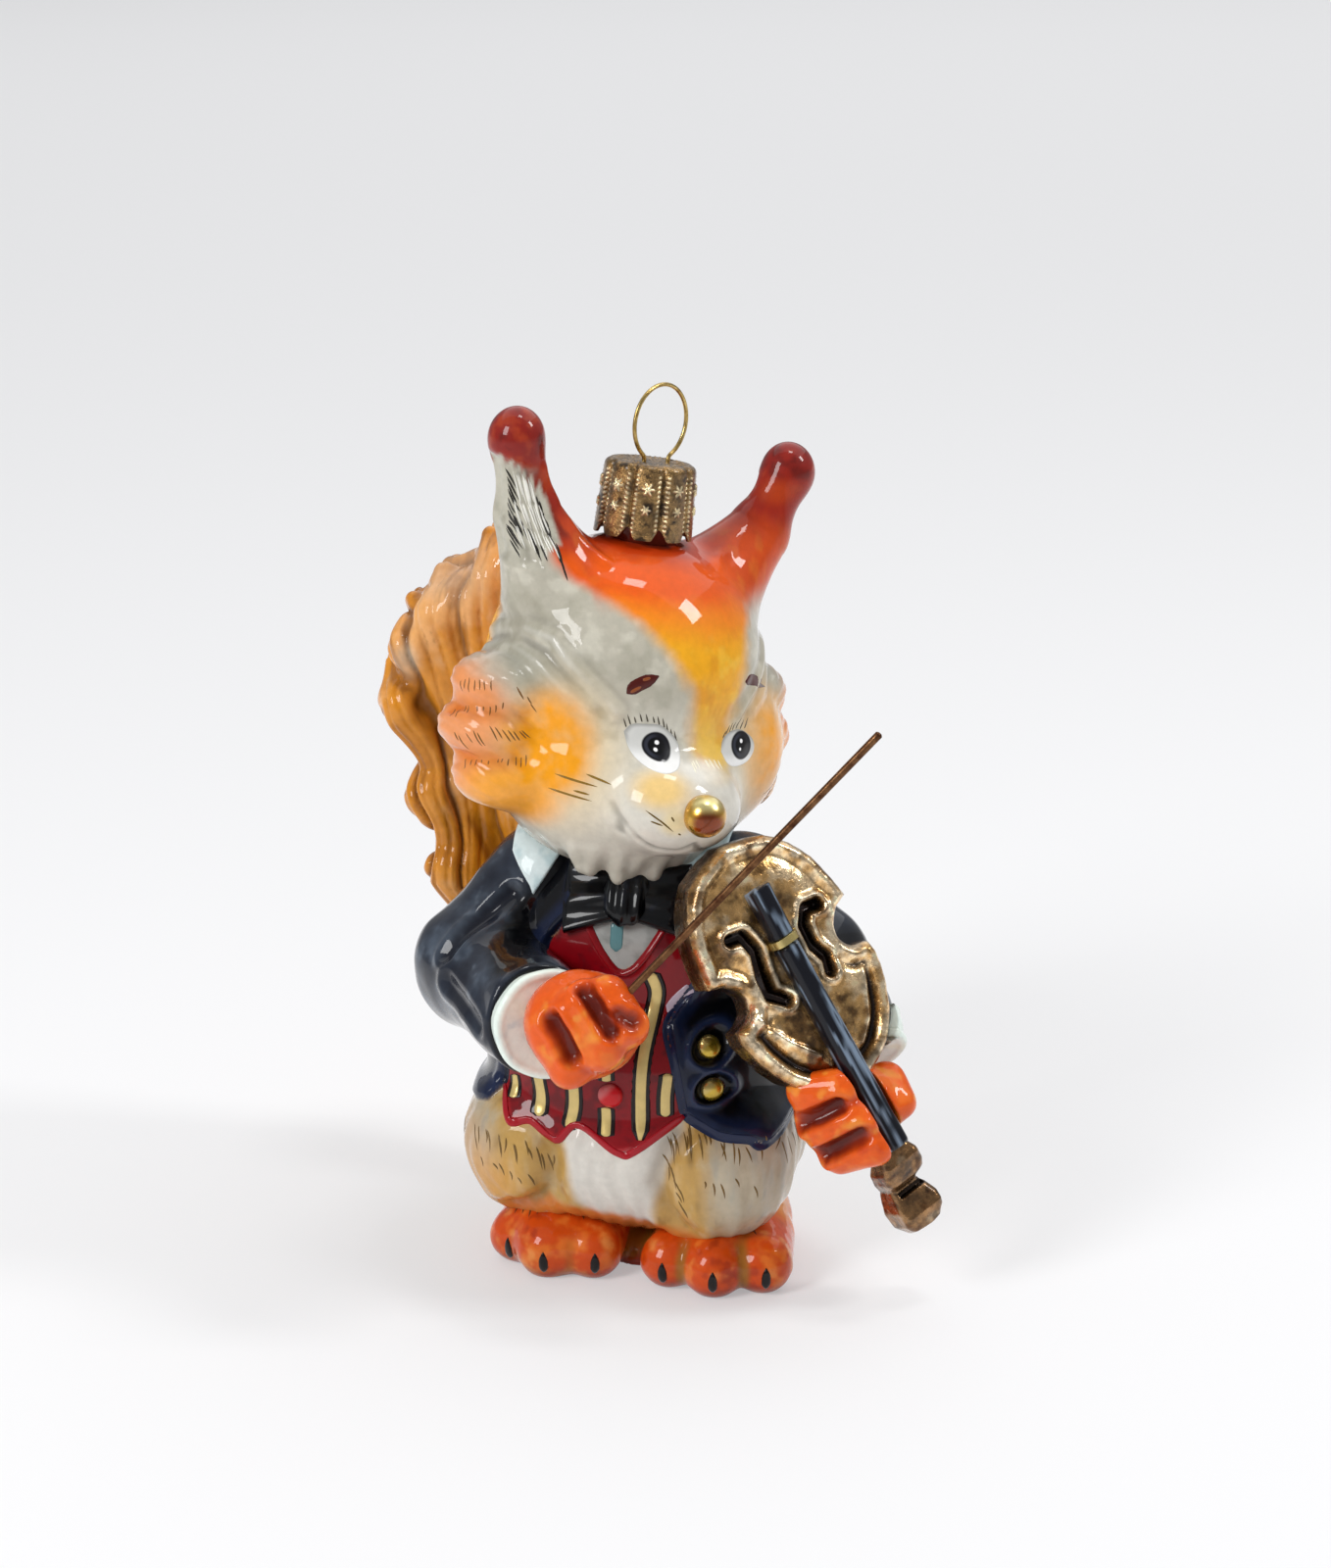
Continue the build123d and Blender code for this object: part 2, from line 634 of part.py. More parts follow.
# Left arm: it reaches behind the violin and closes round its neck
grip_shares = (0.34, 0.78, 0.60)
left_paw_centre = on_violin(grip_shares[0] * paw_half_width, grip_shares[1] * fingerboard_length,
                            -grip_shares[2] * violin_thickness)
shoulder_left_shares = [(0.68, 0.06, 0.88, 0.96, 1.12, -0.11, 0.75, 0.89)]
elbow_left_shares = (1.25, -0.14, 0.72)
wrist_left_shares = (-0.14, 1.33, 1.42)
cuff_left_shares = ((-0.09, 1.22, 1.31), (0.07, 0.72, 0.88))
finger_left_shares = [
    (-0.62, -0.58, 0.50, 0.96, -0.03, -0.72, 0.67, 0.89),
    (-0.38, -0.68, -0.11, 0.96, 0.33, -0.82, 0.11, 0.93),
    (-0.01, -0.65, -0.64, 0.96, 0.59, -0.78, -0.39, 0.93),
    (0.62, 0.55, 0.46, 0.89, 0.86, 0.22, 0.15, 0.86),
]
elbow_left_share, wrist_left_share, palm_left_share = 0.87, 0.74, 0.93
shoulder_left = limbs(shoulder_left_shares, trunk_size, sleeve_radius)
forearm_left = limb(scaled(elbow_left_shares, trunk_size), sleeve_radius * elbow_left_share,
                    near(left_paw_centre, wrist_left_shares), sleeve_radius * wrist_left_share)
sleeve_left_form = blend(shoulder_left + [forearm_left], sleeve_softness)
sleeve_left_spine_shares = [(1.25, -0.18, 0.70), (1.10, -0.10, 0.78), (0.74, 0.03, 0.90)]
sleeve_left_spine = [scaled(shares, trunk_size) for shares in sleeve_left_spine_shares]
left_sleeve = skin(sleeve_left_form, sleeve_left_spine, 18, 9)
left_sleeve = trimmed(left_sleeve, coat_skin, head_outer, violin_parts[0])
left_cuff = cuff(near(left_paw_centre, cuff_left_shares[0]), near(left_paw_centre, cuff_left_shares[1]),
                 left_cuff_radius * wrist_radius_share, left_cuff_radius)
left_cuff = trimmed(left_cuff, left_sleeve, coat_skin, violin_parts[0])
palm_left = oval(left_paw_centre, tuple(palm_left_share * length for length in paw_size))
paw_left_form = blend([palm_left] + limbs(finger_left_shares, paw_size, finger_radius, left_paw_centre),
                      finger_softness)
left_paw = trimmed(skin(paw_left_form, [left_paw_centre], 24, 12), left_cuff, left_sleeve, coat_skin,
                   *violin_parts)
nodes["left_sleeve"] = left_sleeve
nodes["left_cuff"] = left_cuff
nodes["left_paw"] = left_paw

# Feet: three toes each, meeting between the legs on one flat footprint
foot_centre_shares = {"right": (-0.425, -0.17), "left": (0.625, -0.17)}
foot_meeting_share = 0.10
foot_body_shares = [(0.00, 0.00, 0.36, 1.00, 1.00, 0.64)]
bridge_pad_shares = (0.55, 0.50, 0.42)
toe_shares = {
    "right": [
        (-0.56, -0.14, 0.29, 0.85, -0.68, -0.51, 0.29, 0.90),
        (-0.06, -0.36, 0.33, 0.97, -0.10, -0.79, 0.31, 1.00),
        (0.57, -0.36, 0.33, 0.93, 0.59, -0.74, 0.31, 0.97),
    ],
    "left": [
        (-0.48, -0.36, 0.31, 0.93, -0.59, -0.81, 0.31, 0.95),
        (0.12, -0.43, 0.33, 1.00, 0.12, -0.91, 0.31, 1.02),
        (0.68, -0.14, 0.31, 0.93, 0.79, -0.73, 0.31, 1.00),
    ],
}
toe_radius_share = 0.36
toe_radius = foot_height * toe_radius_share
meeting_x = trunk_half_width * foot_meeting_share
for side, away in (("right", -1), ("left", 1)):
    x_share, y_share = foot_centre_shares[side]
    centre = (trunk_half_width * x_share, trunk_half_depth * y_share, 0)
    pad = oval((meeting_x, centre[1], 0), scaled(bridge_pad_shares, foot_size))
    form = blend(ovals(foot_body_shares, foot_size, centre) + [pad]
                 + limbs(toe_shares[side], foot_size, toe_radius, centre), finger_softness)
    foot = skin(form, [centre], 30, 6, flat=True)
    own_side = Pos(meeting_x + away * reach_limit, 0, 0) * Box(2 * reach_limit, 2 * reach_limit, reach_limit)
    nodes[side + "_foot"] = trimmed(main_solid(foot & own_side), trunk_skin)

# Tail: a leaning plume. Thick locks of fur leave its core and end in tips along its outline,
# in a front layer and a back layer.
tail_place_shares = (-1.10, 1.28, 0.26)
tail_core_shares = [
    (-0.24, 0.09, 0.755, 0.74, 0.71, 0.205),
    (-0.03, 0.09, 0.525, 0.57, 0.66, 0.21),
    (0.22, -0.09, 0.32, 0.55, 0.66, 0.17),
    (0.76, -0.35, 0.146, 0.50, 0.65, 0.14),
]
tail_spine_shares = [
    (0.76, -0.35, 0.10), (0.42, -0.09, 0.24), (0.09, 0.00, 0.37), (0.00, 0.09, 0.47),
    (-0.03, 0.09, 0.60), (-0.18, 0.09, 0.86),
]
lock_tip_shares = [
    (-0.45, 0.33), (-0.70, 0.48), (-0.88, 0.615), (-1.16, 0.775), (-0.99, 0.885), (-0.715, 0.94),
    (-0.39, 0.97), (-0.06, 1.01), (0.30, 0.967), (0.58, 0.877), (0.76, 0.768), (0.74, 0.634),
    (0.73, 0.50), (0.82, 0.37),
]
lock_root_share, lock_middle_share, layer_share = 0.35, 0.76, 0.57
lock_radius_shares = (0.65, 1.00, 0.50)
tail_place = scaled(tail_place_shares, trunk_size)
tail_spine = [tuple(o + p for o, p in zip(tail_place, scaled(shares, tail_size)))
              for shares in tail_spine_shares]


def tail_lock(tip_share, layer):
    """A lock of fur: two limbs from the core, over a swelling, to a tip on the outline of the tail."""
    tip_x = tail_place[0] + tip_share[0] * tail_half_width
    tip_z = tail_place[2] + tip_share[1] * tail_height
    root_radius, middle_radius, tip_radius = [share * lock_radius for share in lock_radius_shares]
    root_axis = at_height(tail_spine, tip_z - lock_length)
    middle_axis = at_height(tail_spine, tip_z - lock_length / 3)
    tip_axis = at_height(tail_spine, tip_z)
    inset = (abs(tip_x - tip_axis[0]) - tip_radius) / abs(tip_x - tip_axis[0])
    deep = layer * tail_half_depth * layer_share
    root = (root_axis[0] + lock_root_share * (tip_x - root_axis[0]), root_axis[1] + deep * lock_middle_share,
            root_axis[2])
    middle = (middle_axis[0] + lock_middle_share * (tip_x - middle_axis[0]), middle_axis[1] + deep,
              middle_axis[2])
    tip = (tip_axis[0] + inset * (tip_x - tip_axis[0]), tip_axis[1] + deep * lock_root_share,
           tip_z - tip_radius)
    return [limb(root, root_radius, middle, middle_radius), limb(middle, middle_radius, tip, tip_radius)]


tail_lobes = ovals(tail_core_shares, tail_size, tail_place)
for tip_share in lock_tip_shares:
    tail_lobes += tail_lock(tip_share, -1) + tail_lock(tip_share, 1)
tail_form = blend(tail_lobes, finger_softness)
tail_sides, tail_levels = 30, 20
tail = skin(tail_form, tail_spine, tail_sides, tail_levels)
tail_core = blend(ovals(tail_core_shares, tail_size, tail_place), finger_softness)
tail_hollow = skin(grown(tail_core, cavity_margin), tail_spine, cavity_sides, cavity_levels)
nodes["tail"] = trimmed(tail, head_outer, coat_skin, trunk_skin, right_sleeve) - tail_hollow
nodes["tail"] = main_solid(nodes["tail"])

# Trunk pieces, parted along the edges of the clothes
button_rims = []
button_sides = 10
rim_radius = button_rim_diameter / 2
rim = facet_revolve([(rim_radius, -button_rim_height), (rim_radius, 0),
                     (rim_radius - button_rim_width / 2, button_rim_height)], button_sides)
rim_bore = facet_revolve([(rim_radius - button_rim_width, -2 * button_rim_height),
                          (rim_radius - button_rim_width, 2 * button_rim_height)], button_sides)
rim = rim - rim_bore


button_shares = [(1.00, -1.00), (1.00, 0.40), (0.72, 0.80), (0.30, 1.00)]


def button(diameter):
    """A domed button whose shank reaches back to the cloth."""
    return facet_revolve([(r * diameter / 2, z * button_height) for r, z in button_shares], button_sides)


coat_form = grown(trunk_form, cloth_relief)
waistcoat_form = grown(trunk_form, waistcoat_relief)
slope_step = cloth_relief / 8
coat_button_shares = {"upper": (0.605, 0.57), "lower": (0.635, 0.48)}
waistcoat_button_shares = {"upper": (0.055, 0.585), "lower": (0.015, 0.475)}
coat_buttons = {}
for name, (x_share, z_share) in coat_button_shares.items():
    place = seat(coat_form, trunk_half_width * x_share, trunk_height * z_share, slope_step)
    button_rims.append(place * rim)
    coat_buttons[name] = place * button(coat_button_diameter)
coat = coat_skin - trunk_cavity - below_hem - opening
coat = trimmed(coat, head_outer)
for rim_solid in button_rims:
    coat = main_solid(coat + (rim_solid - trunk_skin))
nodes["coat"] = coat
nodes["waistcoat"] = main_solid((waistcoat_skin & opening) - neckline - trunk_cavity)
nodes["shirt_front"] = trimmed((trunk_skin & neckline & opening) - trunk_cavity, head_outer)
nodes["belly"] = trimmed(trunk_skin - trunk_cavity, coat_skin - below_hem)
for name in coat_buttons:
    nodes["coat_button_" + name] = trimmed(coat_buttons[name], coat)
for name, (x_share, z_share) in waistcoat_button_shares.items():
    place = seat(waistcoat_form, trunk_half_width * x_share, trunk_height * z_share, slope_step)
    nodes["waistcoat_button_" + name] = trimmed(place * button(waistcoat_button_diameter), nodes["waistcoat"])

# Collar wings, laid over the chest and shoulder on each side of the neck
collar_shares = [
    (-0.80, 1.05), (-0.76, 0.97), (-0.60, 0.905), (-0.60, 0.885), (-0.52, 0.93), (-0.44, 0.975),
    (-0.30, 1.05),
]
collar_lobes = ovals(trunk_shares[:2], trunk_size) + shoulder_right + shoulder_left
collar_form = grown(blend(collar_lobes, lobe_softness), collar_relief)
collar_band_shares = (0.86, 1.00)
collar_sides, collar_levels = 36, 6
collar_rings = []
for k in range(collar_levels + 1):
    rise_share = k / collar_levels
    z = trunk_height * (collar_band_shares[0] * (1 - rise_share) + collar_band_shares[1] * rise_share)
    collar_ring = []
    for i in range(collar_sides):
        angle = 2 * math.pi * i / collar_sides
        direction = (math.cos(angle), math.sin(angle), 0)
        length = reach(collar_form, (0, 0, z), direction)
        collar_ring.append((length * direction[0], length * direction[1], z))
    collar_rings.append(collar_ring)
collar_band = facet_solid(collar_rings)
for name, side, sleeve in (("right_collar_wing", 1, right_sleeve), ("left_collar_wing", -1, left_sleeve)):
    wing_outline = front_prism([(side * x, z) for x, z in front_points(collar_shares)], cut_depth)
    nodes[name] = trimmed(collar_band & wing_outline, head_outer, coat_skin, sleeve, nodes["violin_body"])

# Bow tie: a knot and two pleated wings under the chin
tie_shares = (0.05, 0.915)
tie_place = seat(trunk_form, trunk_half_width * tie_shares[0], trunk_height * tie_shares[1], slope_step)
wing_inner_share, wing_notch_share, pleat_share, knot_share = 0.55, 0.88, 0.16, 0.86


def tie_wing(side):
    inner_x, outer_x = side * tie_knot_width / 2, side * tie_width / 2
    inner_y, outer_y = tie_height / 2 * wing_inner_share, tie_height / 2
    points = [(0, -inner_y), (inner_x, -inner_y), (outer_x, -outer_y), (outer_x * wing_notch_share, 0),
              (outer_x, outer_y), (inner_x, inner_y), (0, inner_y)]
    wing = extrude(make_face(Polyline(*points, close=True)), amount=tie_thickness / 3)
    wing = wing + extrude(make_face(Polyline(*points, close=True)), amount=-tie_thickness)
    for k in range(tie_pleats):
        lean = (k - (tie_pleats - 1) / 2) / tie_pleats
        half = tie_height * pleat_share / 4
        groove = Polyline((inner_x, 2 * inner_y * lean - half / 2), (outer_x * 2, 4 * outer_y * lean - half),
                          (outer_x * 2, 4 * outer_y * lean + half), (inner_x, 2 * inner_y * lean + half / 2),
                          close=True)
        wing = wing - Pos(0, 0, tie_thickness / 6) * extrude(make_face(groove), amount=tie_thickness)
    return wing


knot = Pos(0, 0, -tie_thickness / 6) * Box(tie_knot_width, tie_height * knot_share, tie_thickness)
knot = chamfer(knot.edges().filter_by(Axis.Y), tie_thickness / 4)
bow_tie = tie_place * (tie_wing(-1) + tie_wing(1) + knot)
nodes["bow_tie"] = trimmed(bow_tie, head_outer, coat_skin, nodes["shirt_front"], nodes["violin_body"],
                           nodes["right_collar_wing"], nodes["left_collar_wing"])

# Cap: a thin pressed shell with a pleated skirt, and two holes for the wire
cap_shell = []
cap_sides = 4 * pleat_count
for margin, floor in ((0, 0), (cap_wall, -cap_wall)):
    top, edge = cap_top - margin, cap_top_radius - margin
    turn = cap_shoulder * (1 - math.sqrt(0.5))
    profile = [(cap_radius - margin, cap_bottom + floor), (edge, top - cap_shoulder),
               (edge - turn, top - turn), (edge - cap_shoulder, top)]
    cap_shell.append(facet_revolve(profile, cap_sides, pleat_count, pleat_depth))
cap = cap_shell[0] - cap_shell[1]
notch = Polyline((-notch_width / 2, cap_bottom - cap_wall), (notch_width / 2, cap_bottom - cap_wall),
                 (0, cap_bottom + notch_height), close=True)
notch = extrude(make_face(Plane.YZ * notch), amount=2 * cap_radius)
for k in range(pleat_count):
    cap = cap - Rot(0, 0, 360 * k / pleat_count) * notch
wire_sides = 6
wire_hole = facet_revolve([(wire_hole_diameter / 2, cap_top - 2 * cap_wall),
                           (wire_hole_diameter / 2, cap_top + cap_wall)], wire_sides)
for side in (-1, 1):
    cap = cap - Rot(0, 0, hanger_turn + 90) * Pos(hanger_offset + side * leg_spacing / 2, 0, 0) * wire_hole
cap_place = head_place * Pos(0, cap_axis_y, 0)
nodes["cap"] = cap_place * main_solid(cap)

# Hanger: one sprung wire, a ring whose ends bend down through the cap and flare inside the neck
half_spacing = leg_spacing / 2
bend_x = half_spacing + ring_bend_radius
bend_z = ring_radius - math.sqrt((ring_radius + ring_bend_radius) ** 2 - bend_x ** 2)
touch_share = ring_radius / (ring_radius + ring_bend_radius)
touch = (bend_x * touch_share, ring_radius + (bend_z - ring_radius) * touch_share)
touch_angle = math.atan2(touch[1] - bend_z, touch[0] - bend_x)
middle_angle = (math.pi + touch_angle) / 2
bend_middle = (bend_x + ring_bend_radius * math.cos(middle_angle),
               bend_z + ring_bend_radius * math.sin(middle_angle))
leg_points = [(half_spacing + leg_flare, -leg_length), (half_spacing, -leg_length / 2)]
bend_steps, ring_steps = 3, 32
bend_points = arc_points((half_spacing, bend_z), bend_middle, touch, bend_steps)
ring_points = arc_points(touch, (0, 2 * ring_radius), (-touch[0], touch[1]), ring_steps)
half_wire = leg_points + bend_points[:-1]
wire_points = half_wire + ring_points + [(-x, z) for x, z in reversed(half_wire)]
hanger = facet_tube(wire_points, wire_diameter / 2, wire_sides)
hanger_place = cap_place * Rot(0, 0, hanger_turn + 90) * Pos(hanger_offset, 0, cap_top)
nodes["hanger"] = hanger_place * hanger

for name, shape in nodes.items():
    solid = main_solid(shape)
    export_step(solid, os.path.join("parts", name + ".step"))
    print(f"{name:26s} {solid.volume:9.1f} mm3")
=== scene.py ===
import bpy
import numpy as np
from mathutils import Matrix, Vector


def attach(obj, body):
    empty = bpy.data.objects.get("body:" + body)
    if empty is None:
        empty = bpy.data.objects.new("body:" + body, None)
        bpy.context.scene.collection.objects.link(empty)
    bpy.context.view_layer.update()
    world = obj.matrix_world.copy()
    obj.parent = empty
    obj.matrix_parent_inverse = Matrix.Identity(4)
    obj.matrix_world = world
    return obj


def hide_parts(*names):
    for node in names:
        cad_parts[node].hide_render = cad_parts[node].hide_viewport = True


# A mould-blown, hand-painted glass ornament: a squirrel that plays the violin.
# Shapes are worked out in millimetres and scaled to metres when they become meshes.
# +X is the figure's left, -Y is where its chest faces, +Z is up.

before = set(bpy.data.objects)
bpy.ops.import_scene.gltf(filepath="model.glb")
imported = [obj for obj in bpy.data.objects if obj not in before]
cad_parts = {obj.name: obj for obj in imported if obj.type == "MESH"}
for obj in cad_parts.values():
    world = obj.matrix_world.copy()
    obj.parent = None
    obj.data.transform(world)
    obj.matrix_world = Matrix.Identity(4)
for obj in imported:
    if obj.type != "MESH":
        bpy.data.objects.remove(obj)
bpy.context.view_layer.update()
MM = 0.001
GRAIN = 0.31  # side of the cubes that a skin is worked out in
BLOCK = 4  # cubes along a side of a block
STEP = 0.05  # how far to both sides a form is compared to find its slope
NOISE_VALUES = 4096
NOISE_STRIDES = (73856093, 19349663, 83492791)
STROKE_SIDES = 10
MIRROR = np.array([-1, 1, 1])


# Frames of the head and the violin
def unit(v):
    """The vector divided by its length."""
    v = np.asarray(v, float)
    return v / np.linalg.norm(v)


def head_axes(tilt, turn):
    """The head's own X, Y and Z as columns: tilted sideways first, then turned on the neck."""
    t, r = np.radians(turn), np.radians(tilt)
    turned = np.array([[np.cos(t), -np.sin(t), 0], [np.sin(t), np.cos(t), 0], [0, 0, 1]])
    tilted = np.array([[np.cos(r), 0, np.sin(r)], [0, 1, 0], [-np.sin(r), 0, np.cos(r)]])
    return turned @ tilted


HEAD_AXES = head_axes(8.0, 41.5)
HEAD_CENTRE = np.array([-1.5, 0.0, 76.0])
VIOLIN_ORIGIN = np.array([21.8, -15.84, 49.3])
violin_along = unit([0.519, 0.010, -0.855])
violin_across = unit(np.cross(violin_along, [0.559, -0.760, 0.330]))
VIOLIN_AXES = np.stack([violin_across, violin_along, np.cross(violin_across, violin_along)], axis=1)


def to_frame(p, centre, axes):
    """Places in a frame of their own: (p - centre) measured along each axis."""
    return (p - centre) @ axes


def from_frame(q, centre, axes):
    """The way back from to_frame: the centre plus q along each axis."""
    return np.asarray(q, float) @ axes.T + centre


def to_head(p):
    return to_frame(p, HEAD_CENTRE, HEAD_AXES)


def from_head(q):
    return from_frame(q, HEAD_CENTRE, HEAD_AXES)


def to_violin(p):
    return to_frame(p, VIOLIN_ORIGIN, VIOLIN_AXES)


def from_violin(q):
    return from_frame(q, VIOLIN_ORIGIN, VIOLIN_AXES)


# Lobes of blown glass
def oval(p, centre, radii):
    """About the distance to an oval: |q| (|q| - 1) / |q / r|, with q the point in shares of the radii r."""
    radii = np.asarray(radii, p.dtype)
    q = (p - np.asarray(centre, p.dtype)) / radii
    size = np.sqrt(np.einsum("...i,...i", q, q))
    q /= radii
    slope = np.sqrt(np.einsum("...i,...i", q, q))
    return size * (size - 1) / np.maximum(slope, 1e-6)


def limb(p, start, start_radius, end, end_radius):
    """Distance to a limb: to the nearest point of its axis, less a radius that runs evenly from end to end."""
    start, end = np.asarray(start, p.dtype), np.asarray(end, p.dtype)
    along = end - start
    q = p - start
    t = np.clip(q @ along / (along @ along), 0, 1)
    q = q - t[..., None] * along
    return np.sqrt(np.einsum("...i,...i", q, q)) - start_radius - t * (end_radius - start_radius)


def soft_union(gaps, softness):
    """Least of the gaps, lowered where several are alike: -s log(sum(exp(-gap / s)))."""
    least = np.minimum.reduce(gaps)
    total = sum(np.exp((least - gap) / softness) for gap in gaps)
    return least - softness * np.log(total)


def rounded_cut(a, b, radius):
    """What two forms share, with the edge between them rounded."""
    both = np.hypot(np.maximum(a + radius, 0), np.maximum(b + radius, 0))
    return both + np.minimum(np.maximum(a, b) + radius, 0) - radius


def squared_off(x, power):
    """x with its size raised to a power, which turns a sine into a squarer or a rounder one."""
    return np.sign(x) * np.abs(x) ** power


def ease(x, low, high):
    """0 below low, 1 above high, and 3t^2 - 2t^3 between."""
    t = np.clip((x - low) / (high - low), 0, 1)
    return t * t * (3 - 2 * t)


def spot(p, centre, radii, soft=0.35):
    """1 inside an oval and 0 outside it, with an edge as wide as soft of its radius."""
    d = np.linalg.norm((p - np.asarray(centre, float)) / np.asarray(radii, float), axis=-1)
    return 1 - ease(d, 1 - soft, 1 + soft)


def cloud(p, size, seed=0, octaves=3):
    """Smooth noise from -1 to 1: values on a lattice of numbers from a seeded stream, eased between, in octaves."""
    table = np.random.default_rng(seed).random(NOISE_VALUES).astype(np.float32) * 2 - 1
    a, b, c = NOISE_STRIDES
    total, weight = 0.0, 0.0
    for octave in range(octaves):
        q = np.asarray(p, np.float32) / size * 2 ** octave + 17.3 * octave
        base = np.floor(q).astype(np.int64)
        t = (q - base).astype(np.float32)
        t = t * t * (3 - 2 * t)
        value = 0.0
        for corner in range(8):
            step = np.array([corner & 1, corner >> 1 & 1, corner >> 2])
            cell = base + step
            mark = (cell[..., 0] * a ^ cell[..., 1] * b ^ cell[..., 2] * c) & (NOISE_VALUES - 1)
            weights = np.where(step, t, 1 - t).prod(axis=-1)
            value = value + table[mark] * weights
        total = total + value * 0.5 ** octave
        weight += 0.5 ** octave
    return total / weight


def growth(form, p):
    """How much the form grows from STEP before each point to STEP after it, along each axis."""
    return np.stack([form(p + STEP * axis) - form(p - STEP * axis) for axis in np.eye(3)], axis=-1)


def slope_of(form, p):
    """Direction in which the form grows fastest."""
    g = growth(form, p)
    return g / np.maximum(np.linalg.norm(g, axis=-1, keepdims=True), 1e-9)


def settle(form, p):
    """Moves points along the slope, in three rounds, until the form is zero there."""
    for _ in range(3):
        g = growth(form, p) / (2 * STEP)
        square = np.maximum(np.einsum("...i,...i", g, g), 0.05)
        p = p - np.clip(form(p) / square, -1, 1)[..., None] * g
    return p


def net_of(form, low, high, grain):
    """The surface where the form is zero, as a net of quads.

    Space is cut in cubes of side grain, in blocks of BLOCK to a side, and blocks far from the surface are left out.
    Each cube that the surface crosses gives one point, the mean of the crossings on its edges, and each edge
    whose ends lie on opposite sides gives the quad of the four cubes round it."""
    low = np.asarray(low, float)
    counts = np.ceil((np.asarray(high, float) - low) / (BLOCK * grain)).astype(int)
    block = np.stack(np.meshgrid(*[np.arange(n) for n in counts], indexing="ij"), -1).reshape(-1, 3)
    centres = low + (block + 0.5) * BLOCK * grain
    block = block[np.abs(form(centres)) < BLOCK * grain * 1.3 + 0.6]
    local = np.stack(np.meshgrid(*[np.arange(BLOCK + 1)] * 3, indexing="ij"), -1)
    spots = block[:, None, None, None, :] * BLOCK + local
    values = form((low + spots * grain).astype(np.float32)).astype(np.float32)
    inside = values < 0
    wide = np.int64(BLOCK * (counts.max() + 2))

    def key(cell):
        """One whole number for each cube."""
        return (cell[..., 0] * wide + cell[..., 1]) * wide + cell[..., 2]

    corner_steps = [np.array([c & 1, c >> 1 & 1, c >> 2]) for c in range(8)]
    corners = np.stack([values[(slice(None), *(slice(n, n + BLOCK) for n in s))] for s in corner_steps], -1)
    mixed = (corners < 0).any(-1) & ~(corners < 0).all(-1)
    firsts = spots[:, :BLOCK, :BLOCK, :BLOCK]
    cells = firsts[mixed]
    f = corners[mixed]
    total, count = np.zeros((len(f), 3)), np.zeros(len(f))
    for a in range(8):
        for axis in range(3):
            b = a | 1 << axis
            if a == b:
                continue
            crossing = (f[:, a] < 0) != (f[:, b] < 0)
            t = np.where(crossing, f[:, a] / np.where(crossing, f[:, a] - f[:, b], 1), 0)
            point = corner_steps[a] + t[:, None] * (corner_steps[b] - corner_steps[a])
            total += point * crossing[:, None]
            count += crossing
    points = low + (cells + total / count[:, None]) * grain
    keys = key(cells)
    order = np.argsort(keys)
    keys, points = keys[order], points[order]
    quads = []
    for axis in range(3):
        u, v = (axis + 1) % 3, (axis + 2) % 3
        near = inside[:, :BLOCK, :BLOCK, :BLOCK]
        shift = [slice(0, BLOCK)] * 3
        shift[axis] = slice(1, BLOCK + 1)
        far = inside[(slice(None), *shift)]
        for state, flip in ((near & ~far, False), (~near & far, True)):
            edge = firsts[state]
            ring = []
            for du, dv in ((-1, -1), (0, -1), (0, 0), (-1, 0)):
                cell = edge.copy()
                cell[:, u] += du
                cell[:, v] += dv
                ring.append(np.searchsorted(keys, key(cell)))
            ring = np.stack(ring[::-1] if flip else ring, -1)
            quads.append(ring)
    quads = np.concatenate(quads)
    quads = quads[(quads < len(keys)).all(1)]
    return settle(form, points), quads


# Meshes
def piece(name, points, quads, finish, nodes=(), paint=None, body="figure"):
    """A mesh from points in millimetres and a table of quads, which rides on a body."""
    mesh = bpy.data.meshes.new(name)
    points = np.asarray(points, np.float64).reshape(-1, 3)
    quads = np.asarray(quads, np.int32)
    mesh.vertices.add(len(points))
    mesh.vertices.foreach_set("co", (points * MM).astype(np.float32).ravel())
    mesh.loops.add(quads.size)
    mesh.loops.foreach_set("vertex_index", quads.ravel())
    mesh.polygons.add(len(quads))
    mesh.polygons.foreach_set("loop_start", np.arange(0, quads.size, 4, dtype=np.int32))
    mesh.update(calc_edges=True)
    mesh.validate()
    mesh.polygons.foreach_set("use_smooth", np.full(len(mesh.polygons), True))
    if paint is not None:
        layer = mesh.color_attributes.new("paint", "FLOAT_COLOR", "POINT")
        rgba = np.ones((len(points), 4), np.float32)
        rgba[:, :3] = paint
        layer.data.foreach_set("color", rgba.ravel())
    obj = bpy.data.objects.new(name, mesh)
    bpy.context.scene.collection.objects.link(obj)
    mesh.materials.append(finish)
    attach(obj, body)
    if nodes:
        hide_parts(*nodes)


def round_angles(count):
    """Angles spaced evenly all the way round."""
    return np.linspace(0, 2 * np.pi, count, endpoint=False)


def grid_quads(rows, columns, wrap_rows=False):
    """Quads of a grid of points whose columns close in a ring, and whose rows do so where they wrap."""
    i, j = np.meshgrid(np.arange(rows if wrap_rows else rows - 1), np.arange(columns), indexing="ij")
    i2, j2 = (i + 1) % rows, (j + 1) % columns
    return np.stack([i * columns + j, i * columns + j2, i2 * columns + j2, i2 * columns + j], -1).reshape(-1, 4)


